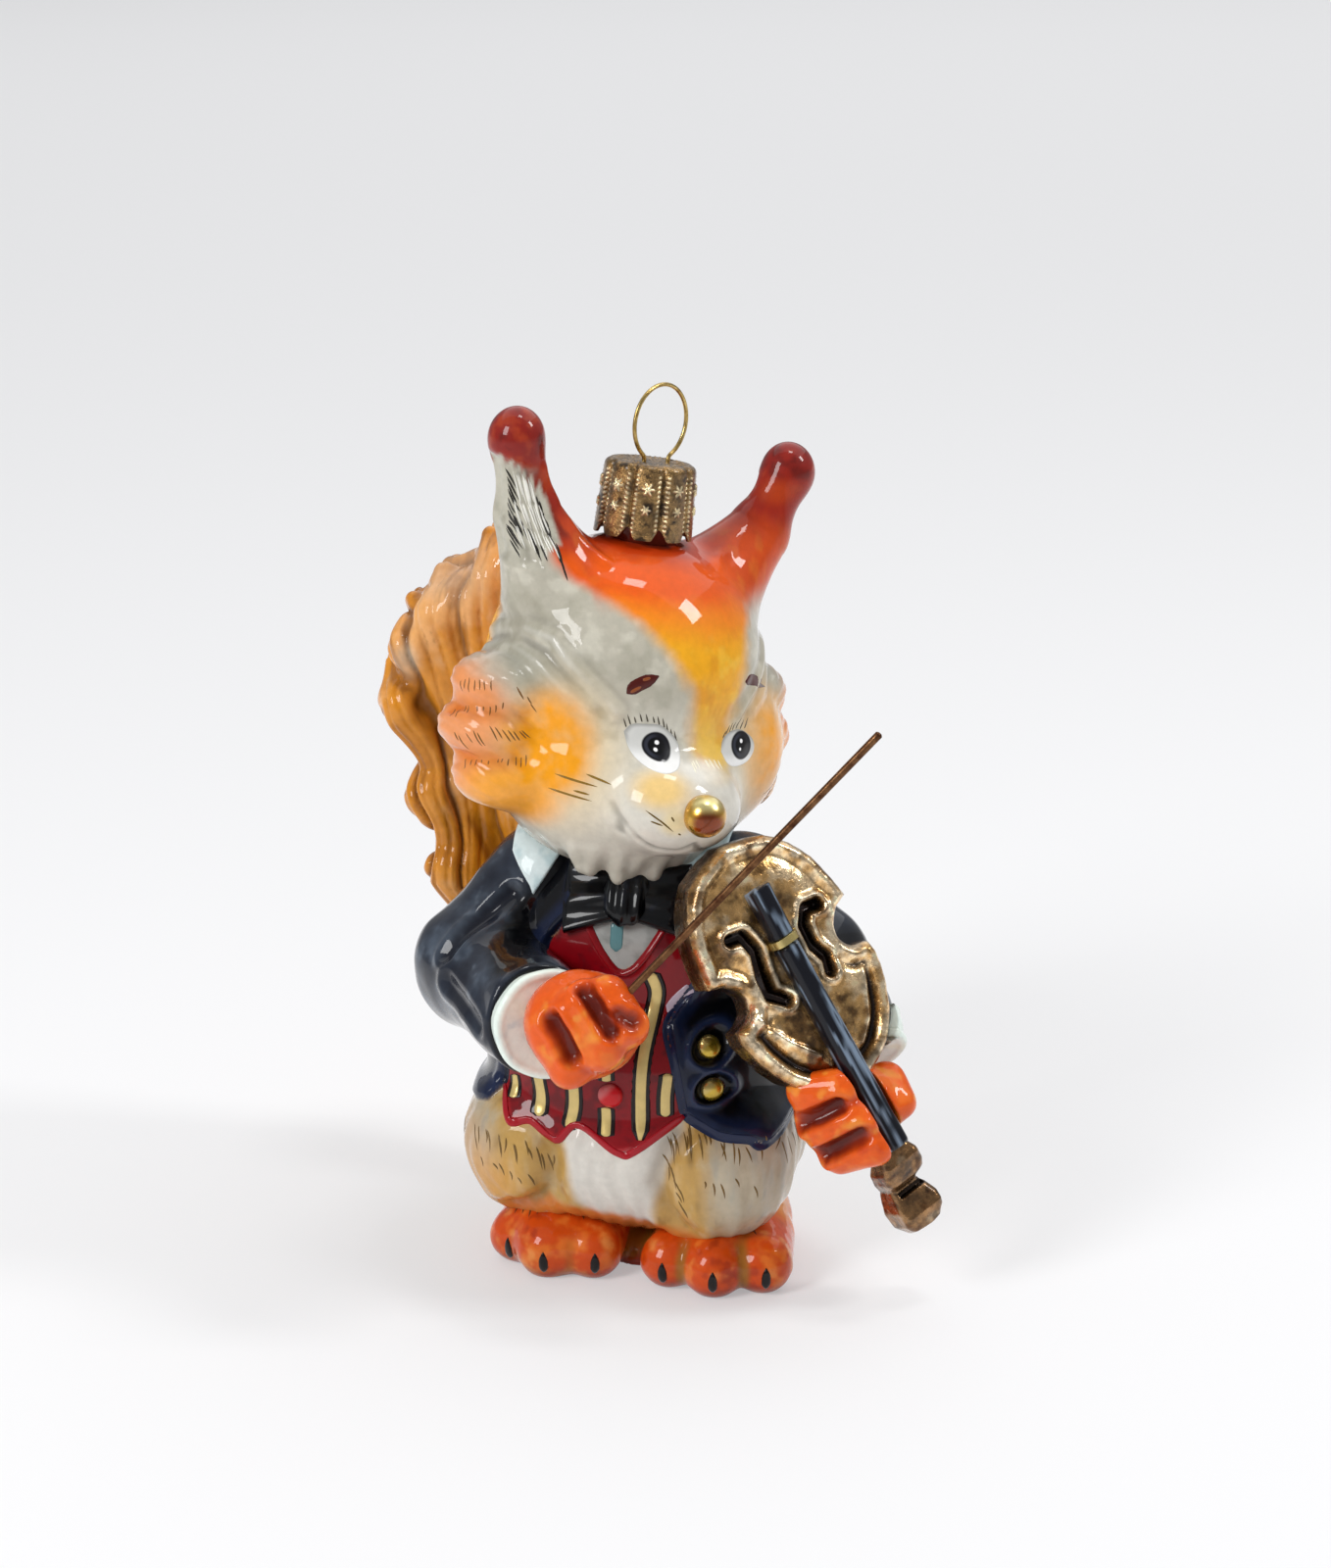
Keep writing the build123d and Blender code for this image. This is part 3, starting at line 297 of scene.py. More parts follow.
def tube(path, radius, sides, up=(0, 0, 1)):
    """A round profile carried along a path, each end drawn in to a point so that it is closed."""
    first, last = unit(path[1] - path[0]) * radius, unit(path[-1] - path[-2]) * radius
    radii = np.concatenate([[0, 0.6 * radius], np.full(len(path), radius), [0.6 * radius, 0]])
    path = np.concatenate(
        [[path[0] - 0.5 * first, path[0] - 0.35 * first], path, [path[-1] + 0.35 * last, path[-1] + 0.5 * last]])
    heading = np.gradient(path, axis=0)
    heading /= np.linalg.norm(heading, axis=1, keepdims=True)
    side = np.cross(heading, np.asarray(up, float))
    weak = np.linalg.norm(side, axis=1) < 1e-3
    side[weak] = np.cross(heading[weak], [0.0, 1.0, 0.1])
    side /= np.linalg.norm(side, axis=1, keepdims=True)
    over = np.cross(side, heading)
    a = round_angles(sides)
    ring = side[:, None] * np.cos(a)[:, None] + over[:, None] * np.sin(a)[:, None]
    points = path[:, None] + radii[:, None, None] * ring
    return points.reshape(-1, 3), grid_quads(len(path), sides)


# Colours and finishes
def colour(code):
    """Linear colour from the six digits of a display colour."""
    c = np.array([int(code[i:i + 2], 16) / 255 for i in (0, 2, 4)])
    return np.where(c <= 0.04045, c / 12.92, ((c + 0.055) / 1.055) ** 2.4)


def brush(paint, code, mask):
    """Lays a colour over the paint where the mask is 1."""
    mask = np.clip(np.asarray(mask, float), 0, 1)[..., None]
    return paint * (1 - mask) + colour(code) * mask


def coats(paint, *layers):
    """Lays coats of colour over the paint in turn, each given as a colour and its mask."""
    for code, mask in layers:
        paint = brush(paint, code, mask)
    return paint


def painted(p, base, *layers):
    """One colour at every point, under coats of others."""
    return coats(np.broadcast_to(colour(base), (len(p), 3)), *layers)


class Recipe:
    """A node material, built link by link."""

    def __init__(self, name):
        self.material = bpy.data.materials.new(name)
        self.material.use_nodes = True
        self.tree = self.material.node_tree
        self.tree.nodes.clear()
        self.output = self.node("ShaderNodeOutputMaterial")
        self.shader = self.node("ShaderNodeBsdfPrincipled")
        self.tree.links.new(self.shader.outputs[0], self.output.inputs[0])
        self.place = self.node("ShaderNodeTexCoord").outputs["Object"]

    def node(self, kind, **settings):
        """A new node with its settings."""
        made = self.tree.nodes.new(kind)
        for key, value in settings.items():
            setattr(made, key, value)
        return made

    def set(self, **sockets):
        """Gives sockets of the shader a value or the output of a node."""
        for key, value in sockets.items():
            socket = self.shader.inputs[key.replace("_", " ")]
            if hasattr(value, "is_output"):
                self.tree.links.new(value, socket)
            else:
                socket.default_value = value
        return self

    def link(self, source, node, socket):
        """Gives one socket of a node a value or the output of another node."""
        if hasattr(source, "is_output"):
            self.tree.links.new(source, node.inputs[socket])
        else:
            node.inputs[socket].default_value = source

    def noise(self, scale, detail, rough):
        made = self.node("ShaderNodeTexNoise")
        made.inputs["Scale"].default_value = scale
        made.inputs["Detail"].default_value = detail
        made.inputs["Roughness"].default_value = rough
        self.tree.links.new(self.place, made.inputs["Vector"])
        return made.outputs["Fac"]

    def ramp(self, source, stops):
        """A number turned into a colour: stops of (place, grey value or colour), even between them."""
        made = self.node("ShaderNodeValToRGB")
        self.tree.links.new(source, made.inputs[0])
        elements = made.color_ramp.elements
        while len(elements) < len(stops):
            elements.new(0.5)
        for element, (at, value) in zip(elements, stops):
            element.position = at
            c = (value,) * 3 if isinstance(value, (int, float)) else tuple(colour(value))
            element.color = (*c, 1)
        return made.outputs[0]

    def mix(self, a, b, factor, mode="MIX"):
        """Two colours mixed, or multiplied, by a factor."""
        made = self.node("ShaderNodeMix", data_type="RGBA", blend_type=mode)
        self.link(factor, made, 0)
        for index, value in ((6, a), (7, b)):
            self.link(tuple(colour(value)) + (1,) if isinstance(value, str) else value, made, index)
        return made.outputs[2]

    def bump(self, height, distance):
        made = self.node("ShaderNodeBump")
        made.inputs["Distance"].default_value = distance
        self.tree.links.new(height, made.inputs["Height"])
        return made.outputs[0]

    def paint(self):
        return self.node("ShaderNodeVertexColor", layer_name="paint").outputs[0]


def lacquer(name, metallic=0.0, roughness=0.5, mottle=0.12):
    """Brushed paint under a clear glossy coat: colour from the piece's own paint, mottled by fine noise."""
    r = Recipe(name)
    fleck = r.ramp(r.noise(900, 5, 0.6), [(0.25, 1 - mottle), (0.75, 1 + mottle * 0.2)])
    base = r.mix(r.paint(), fleck, 1.0, "MULTIPLY")
    r.set(Base_Color=base, Metallic=metallic, Roughness=roughness, Specular_IOR_Level=0.1)
    r.set(Coat_Weight=1.0, Coat_Roughness=0.03, Coat_IOR=1.32, Normal=r.bump(r.noise(420, 3, 0.5), 0.00005))
    return r.material


def metal(name, dark, light, roughness, grain):
    """Plated metal whose tone and gloss wander with noise."""
    r = Recipe(name)
    field = r.noise(grain, 6, 0.65)
    r.set(Base_Color=r.ramp(field, [(0.3, dark), (0.65, light)]), Metallic=1.0)
    r.set(Roughness=r.ramp(field, [(0.3, roughness + 0.15), (0.7, roughness)]), Normal=r.bump(field, 0.00003))
    return r.material


# Strokes of paint, laid on a skin
def on_skin(skin, p):
    """Points brought onto a painted skin, its form and then its relief, and the way out from each."""
    form, relief = skin
    p = settle(form, np.asarray(p, float))
    n = slope_of(form, p)
    return p + n * relief(p)[..., None], n


def curve_through(points, count):
    """A cubic through each two points, whose slope at a point is half the step between the points beside it."""
    p = np.asarray(points, float)
    if len(p) == 2:
        t = np.linspace(0, 1, count)[:, None]
        return p[0] * (1 - t) + p[1] * t
    p = np.concatenate([2 * p[:1] - p[1:2], p, 2 * p[-1:] - p[-2:-1]])
    t = np.linspace(0, len(p) - 3 - 1e-9, count)
    k = t.astype(int)
    s = (t - k)[:, None]
    a, b, c, d = p[k], p[k + 1], p[k + 2], p[k + 3]
    return 0.5 * (2 * b + (c - a) * s + (2 * a - 5 * b + 4 * c - d) * s ** 2 + (3 * b - a - 3 * c + d) * s ** 3)


def strokes(name, skin, paths, width, finish, lift, code, taper, rows=9):
    """Brush strokes as low domed ribbons: a profile of STROKE_SIDES points carried along each path on the skin."""
    all_points, all_quads = [], []
    a = round_angles(STROKE_SIDES)
    for index, path in enumerate(paths):
        centre = curve_through(path, rows)
        w = width[index] if np.ndim(width) else width
        t = np.linspace(0, 1, rows)
        ends = ease(t, -0.02, taper[0]) * ease(1 - t, -0.02, taper[1])
        half = w / 2 * np.sqrt(np.clip(ends, 0.0004, 1))
        centre, n = on_skin(skin, centre)
        heading = np.gradient(centre, axis=0)
        heading /= np.maximum(np.linalg.norm(heading, axis=1, keepdims=True), 1e-9)
        side = np.cross(n, heading)
        raw = centre[:, None] + side[:, None] * (half[:, None] * np.cos(a))[..., None]
        flat, normal = on_skin(skin, raw.reshape(-1, 3))
        up = np.where(np.sin(a) >= 0, lift * np.sin(a), 0.12 * np.sin(a))
        up = (up[None, :] * np.minimum(half[:, None] * 3 / w + 0.2, 1)).reshape(-1)
        all_points.append(flat + normal * up[:, None])
        caps = np.array([[0, 1, 2, 9], [9, 2, 3, 8], [8, 3, 4, 7], [7, 4, 5, 6]])
        faces = [grid_quads(rows, STROKE_SIDES), caps[:, ::-1], caps + (rows - 1) * STROKE_SIDES]
        all_quads.append(np.concatenate(faces) + index * rows * STROKE_SIDES)
    points = np.concatenate(all_points)
    piece(name, points, np.concatenate(all_quads), finish, paint=painted(points, code))


def bell(x, width):
    """exp(-(x / width)^2): 1 at zero, falling away to both sides."""
    return np.exp(-(x / width) ** 2)


def line_gap(p, path):
    """Distance to a broken line."""
    return np.minimum.reduce([limb(p, a, 0.0, b, 0.0) for a, b in zip(path, path[1:])])


def ridge(p, path, width):
    """A rounded ridge along a line: exp(-(distance / width)^2)."""
    return bell(line_gap(p, path), width)


def outline_gap(u, v, outline):
    """Distance to a closed outline in a plane, negative inside it."""
    outline = np.asarray(outline, float)
    least = np.full(np.shape(u), 1e9)
    inside = np.zeros(np.shape(u), bool)
    for (x0, y0), (x1, y1) in zip(outline, np.roll(outline, -1, 0)):
        dx, dy = x1 - x0, y1 - y0
        t = np.clip(((u - x0) * dx + (v - y0) * dy) / max(dx * dx + dy * dy, 1e-12), 0, 1)
        least = np.minimum(least, np.hypot(u - x0 - t * dx, v - y0 - t * dy))
        crosses = (y0 > v) != (y1 > v)
        inside ^= crosses & (u < (x1 - x0) * (v - y0) / (y1 - y0 if y1 != y0 else 1e-12) + x0)
    return np.where(inside, -least, least)


def skin_piece(name, skin, low, high, paint_of, finish, nodes, grain=GRAIN):
    """A piece of the glass: the net of its form, pushed out by its relief, with its paint worked out per point."""
    form, relief = skin
    points, quads = net_of(form, low, high, grain)
    normal = slope_of(form, points)
    lift = relief(points) if relief is not None else np.zeros(len(points))
    paint = paint_of(points, normal, lift)
    piece(name, points + normal * lift[:, None], quads, finish, nodes, paint)


PAINT = lacquer("brushed_lacquer")
INK = lacquer("thick_lacquer", mottle=0.06, roughness=0.4)

# Head and ears
HEAD_LOBES = [
    ((0, 1.6, 4), (18.5, 17.5, 17.6)), ((0.6, -1.05, -8.6), (17.9, 15.9, 13.8)),
    ((17.2, 1.05, 1.6), (6.5, 7, 4)), ((18.4, 1.05, -4.4), (6.7, 7, 4.3)), ((16.4, 0, -10.4), (6.8, 7, 4.6)),
    ((12.5, -4.2, -5.4), (8.2, 8.4, 9.6)), ((-17.8, 1.05, 1.6), (6.7, 7, 4)),
    ((-19.1, 1.05, -4.4), (6.7, 7, 4)), ((-16.7, 0, -10.4), (6.8, 7, 4.4)),
    ((0, -14.5, -10.6), (9.1, 8.05, 6.6))]
EAR_POINTS = {
    "right": [(-12.0, 1.6, 15), (-16.6, 2.1, 23.1), (-19.4, 2.1, 32.9)],
    "left": [(12.0, 1.6, 15), (18.0, 2.1, 21.9), (21.6, 2.1, 30.4)]}


def head_form(p):
    """Skull, cheeks and muzzle as ovals, the ears as limbs that end in balls, and a fringe under the chin."""
    q = to_head(p)
    skull = soft_union([oval(q, centre, radii) for centre, radii in HEAD_LOBES], 1.0)
    ears = []
    for root, stem, tip in EAR_POINTS.values():
        ears += [limb(q, root, 7.0, stem, 4.2), limb(q, stem, 3.7, tip, 3.0), oval(q, tip, (3.45, 3.45, 4.0))]
    fringe = [
        limb(q, (x, y, -18.6), 2.3, (x * 1.02, y * 1.03 - 0.3, -20.5 - drop), 1.2)
        for x, y, drop in ((-7.5, -7.5, 0.1), (-3.6, -9.6, 0.7), (0.4, -10.2, 0.2), (4.2, -9.4, 0.6))]
    return soft_union([skull, soft_union(ears, 0.6)] + fringe, 1.0)


WRINKLE_HEIGHT = 0.34
WRINKLES = [
    [(-17.4, 6.7, 7.4), (-17.3, -2.6, 9.3), (-15.5, -6.7, 8.8), (-14.7, -8.7, 6.9), (-12.3, -11.5, 4.1),
     (-9.1, -13.5, 1.1)], [(-18.4, 5.0, 5.4), (-18.2, -1.3, 7.0), (-17.0, -5.5, 5.6), (-15.1, -8.6, 3.4),
     (-12.0, -11.5, 1.3)]]
MOUTH = [
    (-7.8, -17.2, -12.4), (-6.2, -17.9, -14.2), (-4.0, -18.4, -15.6), (-1.2, -19.7, -15.8), (0.2, -21.1, -14.6),
    (2.2, -19.6, -15.8), (5.6, -17.6, -15.2), (8.0, -16.2, -13.4)]
EAR_HOLLOW = [
    (-27, 33.0), (-21.5, 31.0), (-17.8, 30.2), (-16.2, 27.0), (-13.8, 19.9), (-13.6, 16.6), (-17.5, 16.8),
    (-27, 18.0)]
EAR_RIDGE = [
    (-17.1, -1.0, 29.7), (-15.6, -1.0, 27.0), (-13.4, -1.7, 23.4), (-10.3, -3.6, 19.4), (-9.4, -4.8, 18.4)]


def hollow_of(side, reach):
    """Distance to the hollow of an ear, negative inside it; it faces forwards and outwards from reach on."""
    depth = np.maximum(side[:, 1] - 4.0 - reach, reach - 7.0 - side[:, 1] * 2)
    return np.maximum(outline_gap(side[:, 0], side[:, 2], EAR_HOLLOW), depth)


def head_relief(p):
    """Brow folds, creases, the ears' hollows and the mouth as bells of the distance to a line; fur as sines."""
    q = to_head(p)
    mirrored = q * MIRROR
    lift = np.zeros(len(p))
    for side in (q, mirrored):
        for path in WRINKLES:
            gap = line_gap(side, path)
            lift += WRINKLE_HEIGHT * (bell(gap, 0.9) - 0.6 * bell(gap - 1.6, 0.8))
        for x, y, z in ((-21.5, -2.5, -1.6), (-21.0, -3.5, -7.3)):
            lift -= 0.5 * ridge(side, [(x - 6, y + 6, z - 0.6), (x, y, z), (x + 4.5, y - 2.5, z + 0.2)], 0.7)
        hair = np.sin(side[:, 0] * 2.2 + side[:, 2] * 3.4 + 2.5 * cloud(side, 5.0, 3, 2))
        lift += 0.09 * hair * spot(side, (-21, 0, -4.5), (7, 9, 11), 0.3)
    for side, reach in ((q, 0.0), (mirrored, 11.0)):
        dish = hollow_of(side, reach)
        hair = np.sin(side[:, 0] * 5.2 + side[:, 2] * 1.6 + 2 * cloud(side, 4.0, 5, 2))
        lift += ease(-dish, 0, 1.4) * (0.12 * hair - 0.75)
        lift += 0.55 * ridge(side, [(x + 1.1, y, z) for x, y, z in EAR_RIDGE], 0.9)
    lift -= 0.42 * ridge(q, MOUTH, 0.5)
    lift -= 0.35 * ridge(q, [(-9.6, -15.6, -10.4), (-8.6, -16.6, -12.0), (-8.0, -16.0, -14.0)], 0.8)
    chin = ease(-q[:, 2], 15.5, 20)
    lift += 0.16 * chin * np.sin(np.arctan2(q[:, 0], -q[:, 1]) * 26 + 3 * cloud(q, 6.0, 9, 2))
    lift += 0.10 * cloud(q, 7.0, 11, 2)
    return lift


def head_paint(p, normal, lift):
    """Warm grey under a blaze from yellow to red up the brow, orange cheeks, and red ears with grey hollows."""
    q = to_head(p)
    x, y, z = q[:, 0], q[:, 1], q[:, 2]
    fine, broad = cloud(q, 1.6, 21, 3), cloud(q, 6.0, 22, 3)
    # The darker grey under the chin is painted shade, the paler grey on raised relief is painted highlight and the
    # darker grey in its dips is painted shade.
    paint = painted(
        p, "bbb6a6",
        ("dcd8ca", ease(-z - 0.2 * y + 2 * broad, -2.0, 5.0) * 0.85),
        ("dfdbd0", spot(q, (0, -18, -10), (9, 9, 7), 0.5) * 0.9),
        ("918c79", ease(broad + 0.5 * fine, 0.1, 0.6) * 0.5 * ease(z, -9, 0)),
        ("a5a190", ease(cloud(q, 3.2, 26, 4), 0.12, 0.34) * 0.45 * ease(z, -10, -2)),
        ("dedaca", ease(cloud(q, 2.6, 27, 4), 0.18, 0.42) * 0.4),
        ("908b7c", ease(-z, 17, 21) * 0.65 * (0.7 + 0.3 * fine)),
        ("dcdad0", ease(lift, 0.18, 0.45) * 0.6),
        ("8a867b", ease(-lift, 0.08, 0.35) * 0.6))
    wobble = 1.2 * broad + 0.7 * fine
    middle = 4.2 - 0.28 * np.clip(z - 4, 0, 12)
    half = wobble + np.interp(
        z, [-9, -5, -2, 2, 5, 8, 11, 14, 17, 22], [1.6, 2.4, 2.9, 3.3, 4.5, 5.8, 7.8, 10.5, 14.5, 20])
    front = ease(-y + z * 0.9, -6.0, 3.0)
    blaze = (1 - ease(np.abs(x - middle), half - 1.8, half + 2.0)) * np.maximum(front, ease(z, 13, 17))
    blaze *= ease(z, -7.5, -4.0)
    back = ease(y, 4.0, 9.0) * ease(z + 0.35 * y, 2.0, 9.0)
    blaze = np.maximum(blaze, back)
    level = z + 1.0 * broad + 0.5 * fine
    tones = painted(
        p, "efc45c",
        ("f5ad1c", ease(level, -4, 5)),
        ("f9c944", ease(fine, 0.1, 0.5) * 0.5),
        ("dd8a1c", ease(cloud(q * [1, 1, 0.45], 1.8, 28, 4), 0.12, 0.36) * 0.4),
        ("f28414", ease(level, 9.0, 13.5) * 0.95),
        ("ea5a06", ease(level, 13.0, 16.6)),
        ("b83404", ease(level, 18.0, 20.6)),
        ("6f1806", ease(level, 20.4, 22.0) * 0.8))
    paint = paint * (1 - blaze[:, None]) + tones * blaze[:, None]
    for side in (q, q * MIRROR):
        sx, sy, sz = side[:, 0], side[:, 1], side[:, 2]
        peach = spot(side, (-22.5, 1.5, -4.2), (5.5, 9.0, 9.4), 0.3) * ease(2.5 * broad - sz, -8, -2)
        paint = brush(paint, "ee9350", np.clip(peach * 1.1 + 0.2 * fine * peach, 0, 1) * 0.9)
        near_face = 0.6 if side is q else 1.0
        paint = brush(paint, "f4d08a", spot(side, (-14.5, -9.0, -5.6), (7.0, 8.0, 8.6), 0.6) * 0.55)
        sun = spot(side, (-15.4, -8.0, -5.0), (5.0, 6.6, 6.8), 0.75 * near_face) * (1.0 + 0.4 * fine)
        sun = np.maximum(sun, 0.9 * spot(side, (-18.0, -5.0, -11.5), (6.0, 6.5, 4.6), 0.45))
        # The darker orange in the dips of the cheeks is painted shade.
        paint = coats(
            paint,
            ("f7a20c", np.clip(sun, 0, 1)),
            ("de6a20", peach * ease(-lift, 0.1, 0.4) * 0.9),
            ("d97a28", spot(side, (-23.0, -1.0, -7.6), (6, 6, 1.3), 0.6) * 0.7),
            ("d97a28", spot(side, (-24.0, -1.0, -1.6), (6, 6, 1.2), 0.6) * 0.6),
            ("a9a798", spot(side, (-19.5, -4.0, 4.6), (5.0, 5.5, 2.2), 0.6) * 0.6))
        ear = ease(sz, 12.0, 17.0) * ease(-sx, 8.5, 12.5)
        if side is q:
            ridge_x = np.interp(sz, [17.0, 19.4, 23.4, 27.0, 29.7], [-11.2, -11.6, -14.4, -16.4, -17.4])
            tip = np.maximum(ease(sz + 0.5 * fine, 29.0, 30.2), ease(sy, 5.0, 7.5))
            ear *= np.maximum(ease(sx - ridge_x + 0.6 * fine, -0.5, 0.5), tip)
        streak = cloud(side * [1, 1, 0.3], 1.3, 25, 3)
        red = painted(
            p, "cf4a10",
            ("d9691c", ease(streak, 0.0, 0.5) * 0.7),
            ("9a220c", ease(sz + broad + 1.5 * streak, 20.0, 26.0)),
            ("b8400f", spot(side, (-18.0, -2.0, 28.2), (3.0, 3.0, 1.6), 0.6) * 0.8),
            ("8a1c12", ease(sz, 29.5, 32.0)),
            ("500c08", ease(fine + 0.5 * broad, 0.0, 0.5) * ease(sz, 29.0, 31.0) * 0.7),
            ("b0421f", ease(-fine - 0.3 * broad, 0.15, 0.6) * ease(sz, 24.0, 31.0) * 0.6))
        paint = paint * (1 - ear[:, None]) + red * ear[:, None]
    for side, reach in ((q, 0.0), (q * MIRROR, 11.0)):
        dish = hollow_of(side, reach)
        ragged = 0.7 * np.sin(side[:, 0] * 6.0 + 2 * fine)
        hollow = ease(-dish, -0.1, 0.5) * (1 - ease(side[:, 2] + ragged + 0.6 * (side[:, 0] + 20), 28.4, 29.8))
        hollow *= ease(side[:, 2] + fine, 13.5 + 0.3 * reach, 17 + 0.4 * reach)
        paint = coats(
            paint,
            ("bdb9a9", hollow),
            ("8f8b7c", hollow * ease(fine, 0.0, 0.5) * 0.5))
    paint = coats(
        paint,
        ("f6c860", spot(q, (-5.0, -19.8, -7.6), (3.4, 3.4, 2.4), 0.6) * 0.75),
        ("f4d78a", spot(q, (-3.4, -21.6, -11.4), (1.8, 2.0, 1.6), 0.6) * 0.6),
        ("f2efe6", spot(q, (1.6, -18.6, -5.4), (3.2, 2.6, 1.4), 0.5) * 0.7))
    return np.clip(paint, 0, 1)


HEAD_SKIN = (head_form, head_relief)
skin_piece(
    "head_glass", HEAD_SKIN, (-31, -30, 51), (26, 24, 118), head_paint, PAINT,
    ("head", "right_ear", "left_ear"), GRAIN * 1.16)

NECK_Y, NECK_SIDES = 1.05, 64
NECK_PROFILE = np.array([(4.05, 19.0), (4.85, 19.0), (4.85, 28.3), (4.6, 28.6), (4.2, 28.6), (4.05, 28.3)])
neck_turn = round_angles(NECK_SIDES)
neck_points = np.stack(
    [np.outer(NECK_PROFILE[:, 0], np.cos(neck_turn)), np.outer(NECK_PROFILE[:, 0], np.sin(neck_turn)) + NECK_Y,
     np.outer(NECK_PROFILE[:, 1], np.ones(NECK_SIDES))], -1).reshape(-1, 3)
piece(
    "neck_glass", from_head(neck_points), grid_quads(6, NECK_SIDES, wrap_rows=True)[:, ::-1], finish=PAINT,
    paint=painted(neck_points, "5e1a0c"))

# Nose: a round gilt ball
def globe(centre, radii, axes=np.eye(3), rows=40, columns=64):
    """An oval: centre + radii * (sin v cos u, sin v sin u, cos v), with v from pole to pole."""
    v = np.linspace(0.001, np.pi - 0.001, rows)[:, None]
    u = round_angles(columns)
    unit_points = np.stack([np.sin(v) * np.cos(u), np.sin(v) * np.sin(u), np.cos(v) + 0 * u], -1)
    points = (unit_points * np.asarray(radii, float)).reshape(-1, 3) @ np.asarray(axes).T + centre
    return points, grid_quads(rows, columns)[:, ::-1], unit_points.reshape(-1, 3)


def gilt(name):
    """Gold paint that gathers brown in its hollows and wanders in tone."""
    r = Recipe(name)
    field = r.noise(900, 5, 0.6)
    tone = r.mix(r.paint(), r.ramp(field, [(0.25, 0.72), (0.7, 1.0)]), 1.0, "MULTIPLY")
    r.set(Base_Color=tone, Metallic=0.85, Roughness=r.ramp(field, [(0.3, 0.36), (0.75, 0.22)]))
    r.set(Coat_Weight=0.7, Coat_Roughness=0.05, Normal=r.bump(field, 0.00002))
    return r.material


GILT = gilt("old_gilt")
points, quads, ball = globe(np.zeros(3), (2.75, 2.75, 2.75))
nose_centre = np.array([0, -22.925, -10.2])
# A painted reflection in dark amber on the lower front of the ball and a painted highlight in pale gold on its top.
nose_paint_and_reflections = painted(
    points, "e0ad3c",
    ("863208", spot(ball, (-0.3, -0.88, -0.2), (0.85, 0.6, 0.62), 0.35) * 0.97),
    ("f7e7a0", spot(ball, (-0.25, -0.5, 0.8), (0.9, 0.6, 0.45), 0.5)))
piece(
    "nose_ball", from_head(points + nose_centre), quads, finish=GILT, nodes=("nose",),
    paint=nose_paint_and_reflections)


# Eyes: painted almonds on the face, each worked out in rings from its middle to its outline
def eye(name, outline, iris_place, iris_half, glints, node):
    """Rings of points between an almond's middle and its outline, walked onto the face and domed over it."""
    rows, columns = 44, 120
    edge = curve_through(outline + outline[:1], columns + 1)[:-1]
    middle = edge.mean(0)
    r = np.linspace(0.0005, 1, rows)[:, None, None]
    flat = (middle + r * (edge - middle)).reshape(-1, 2)
    world = from_head(np.stack([flat[:, 0], np.full(len(flat), -21.0), flat[:, 1]], -1))
    for _ in range(16):
        world = world + HEAD_AXES[:, 1] * np.clip(head_form(world), -3, 3)[:, None] * 0.85
    n = slope_of(head_form, world)
    rim = np.broadcast_to(r[..., 0], (rows, columns)).reshape(-1)
    iris = np.hypot((flat[:, 0] - iris_place[0]) / iris_half[0], (flat[:, 1] - iris_place[1]) / iris_half[1])
    above = (flat[:, 1] - middle[1]) / 2.5
    dome = 0.04 + 0.16 * np.sqrt(np.clip(1 - rim ** 2, 0, 1)) + 0.14 * (1 - ease(iris, 0.2, 1.05))
    height = head_relief(world) + dome
    # The white is lighter on its lower half and greyer along its upper rim, painted shade under the lid; the glints
    # are painted highlights.
    paint = painted(
        flat, "d3d3cf",
        ("f2f2f0", ease(-above, 0.1, 0.7)),
        ("a5a49f", ease(rim, 0.8, 1.0) * ease(above, -0.2, 0.5)),
        ("131319", 1 - ease(iris, 0.92, 1.02)),
        ("2f313c", (1 - ease(iris, 0.74, 0.86)) * ease(iris, 0.5, 0.62) * ease(iris_place[0] - flat[:, 0], -0.4,
          0.9)),
        ("040407", 1 - ease(iris, 0.52, 0.64)))
    for x, z, size in glints:
        spark = np.hypot(flat[:, 0] - iris_place[0] - x, flat[:, 1] - iris_place[1] - z) / size
        paint = brush(paint, "ffffff", 1 - ease(spark, 0.8, 1.1))
    points = world + n * height[:, None]
    hem = points[-columns:] - n[-columns:] * 0.5
    inner = hem.mean(0) + (hem - hem.mean(0)) * 0.01 - n[0] * 1.2
    points = np.concatenate([points, hem, inner])
    paint = np.concatenate([paint, paint[-columns:], paint[-columns:]])
    piece(
        name, points, grid_quads(rows + 2, columns)[:, ::-1], finish=INK, nodes=(node,),
        paint=paint)


eye(
    "right_eye_white", [(-7.9, -1.4), (-7.1, -0.4), (-5.4, -0.2), (-3.4, -0.3), (-1.4, -1.8), (-1.0, -3.4),
     (-2.0, -4.9), (-3.8, -5.7), (-5.6, -5.4), (-7.1, -3.8)], (-4.0, -2.9), (1.85, 1.85),
    ((0.05, 0.42, 0.3), (-0.2, -0.5, 0.26)), "right_eye")
eye(
    "left_eye_white", [(5.8, -3.6), (6.3, -2.2), (7.6, -1.3), (9.8, -1.2), (11.9, -2.4), (12.2, -3.9),
     (11.0, -5.2), (8.8, -5.6), (6.8, -5.1)], (9.6, -3.1), (2.0, 1.85), ((-0.1, 0.5, 0.28), (-0.4, -0.5, 0.2)),
    "left_eye")

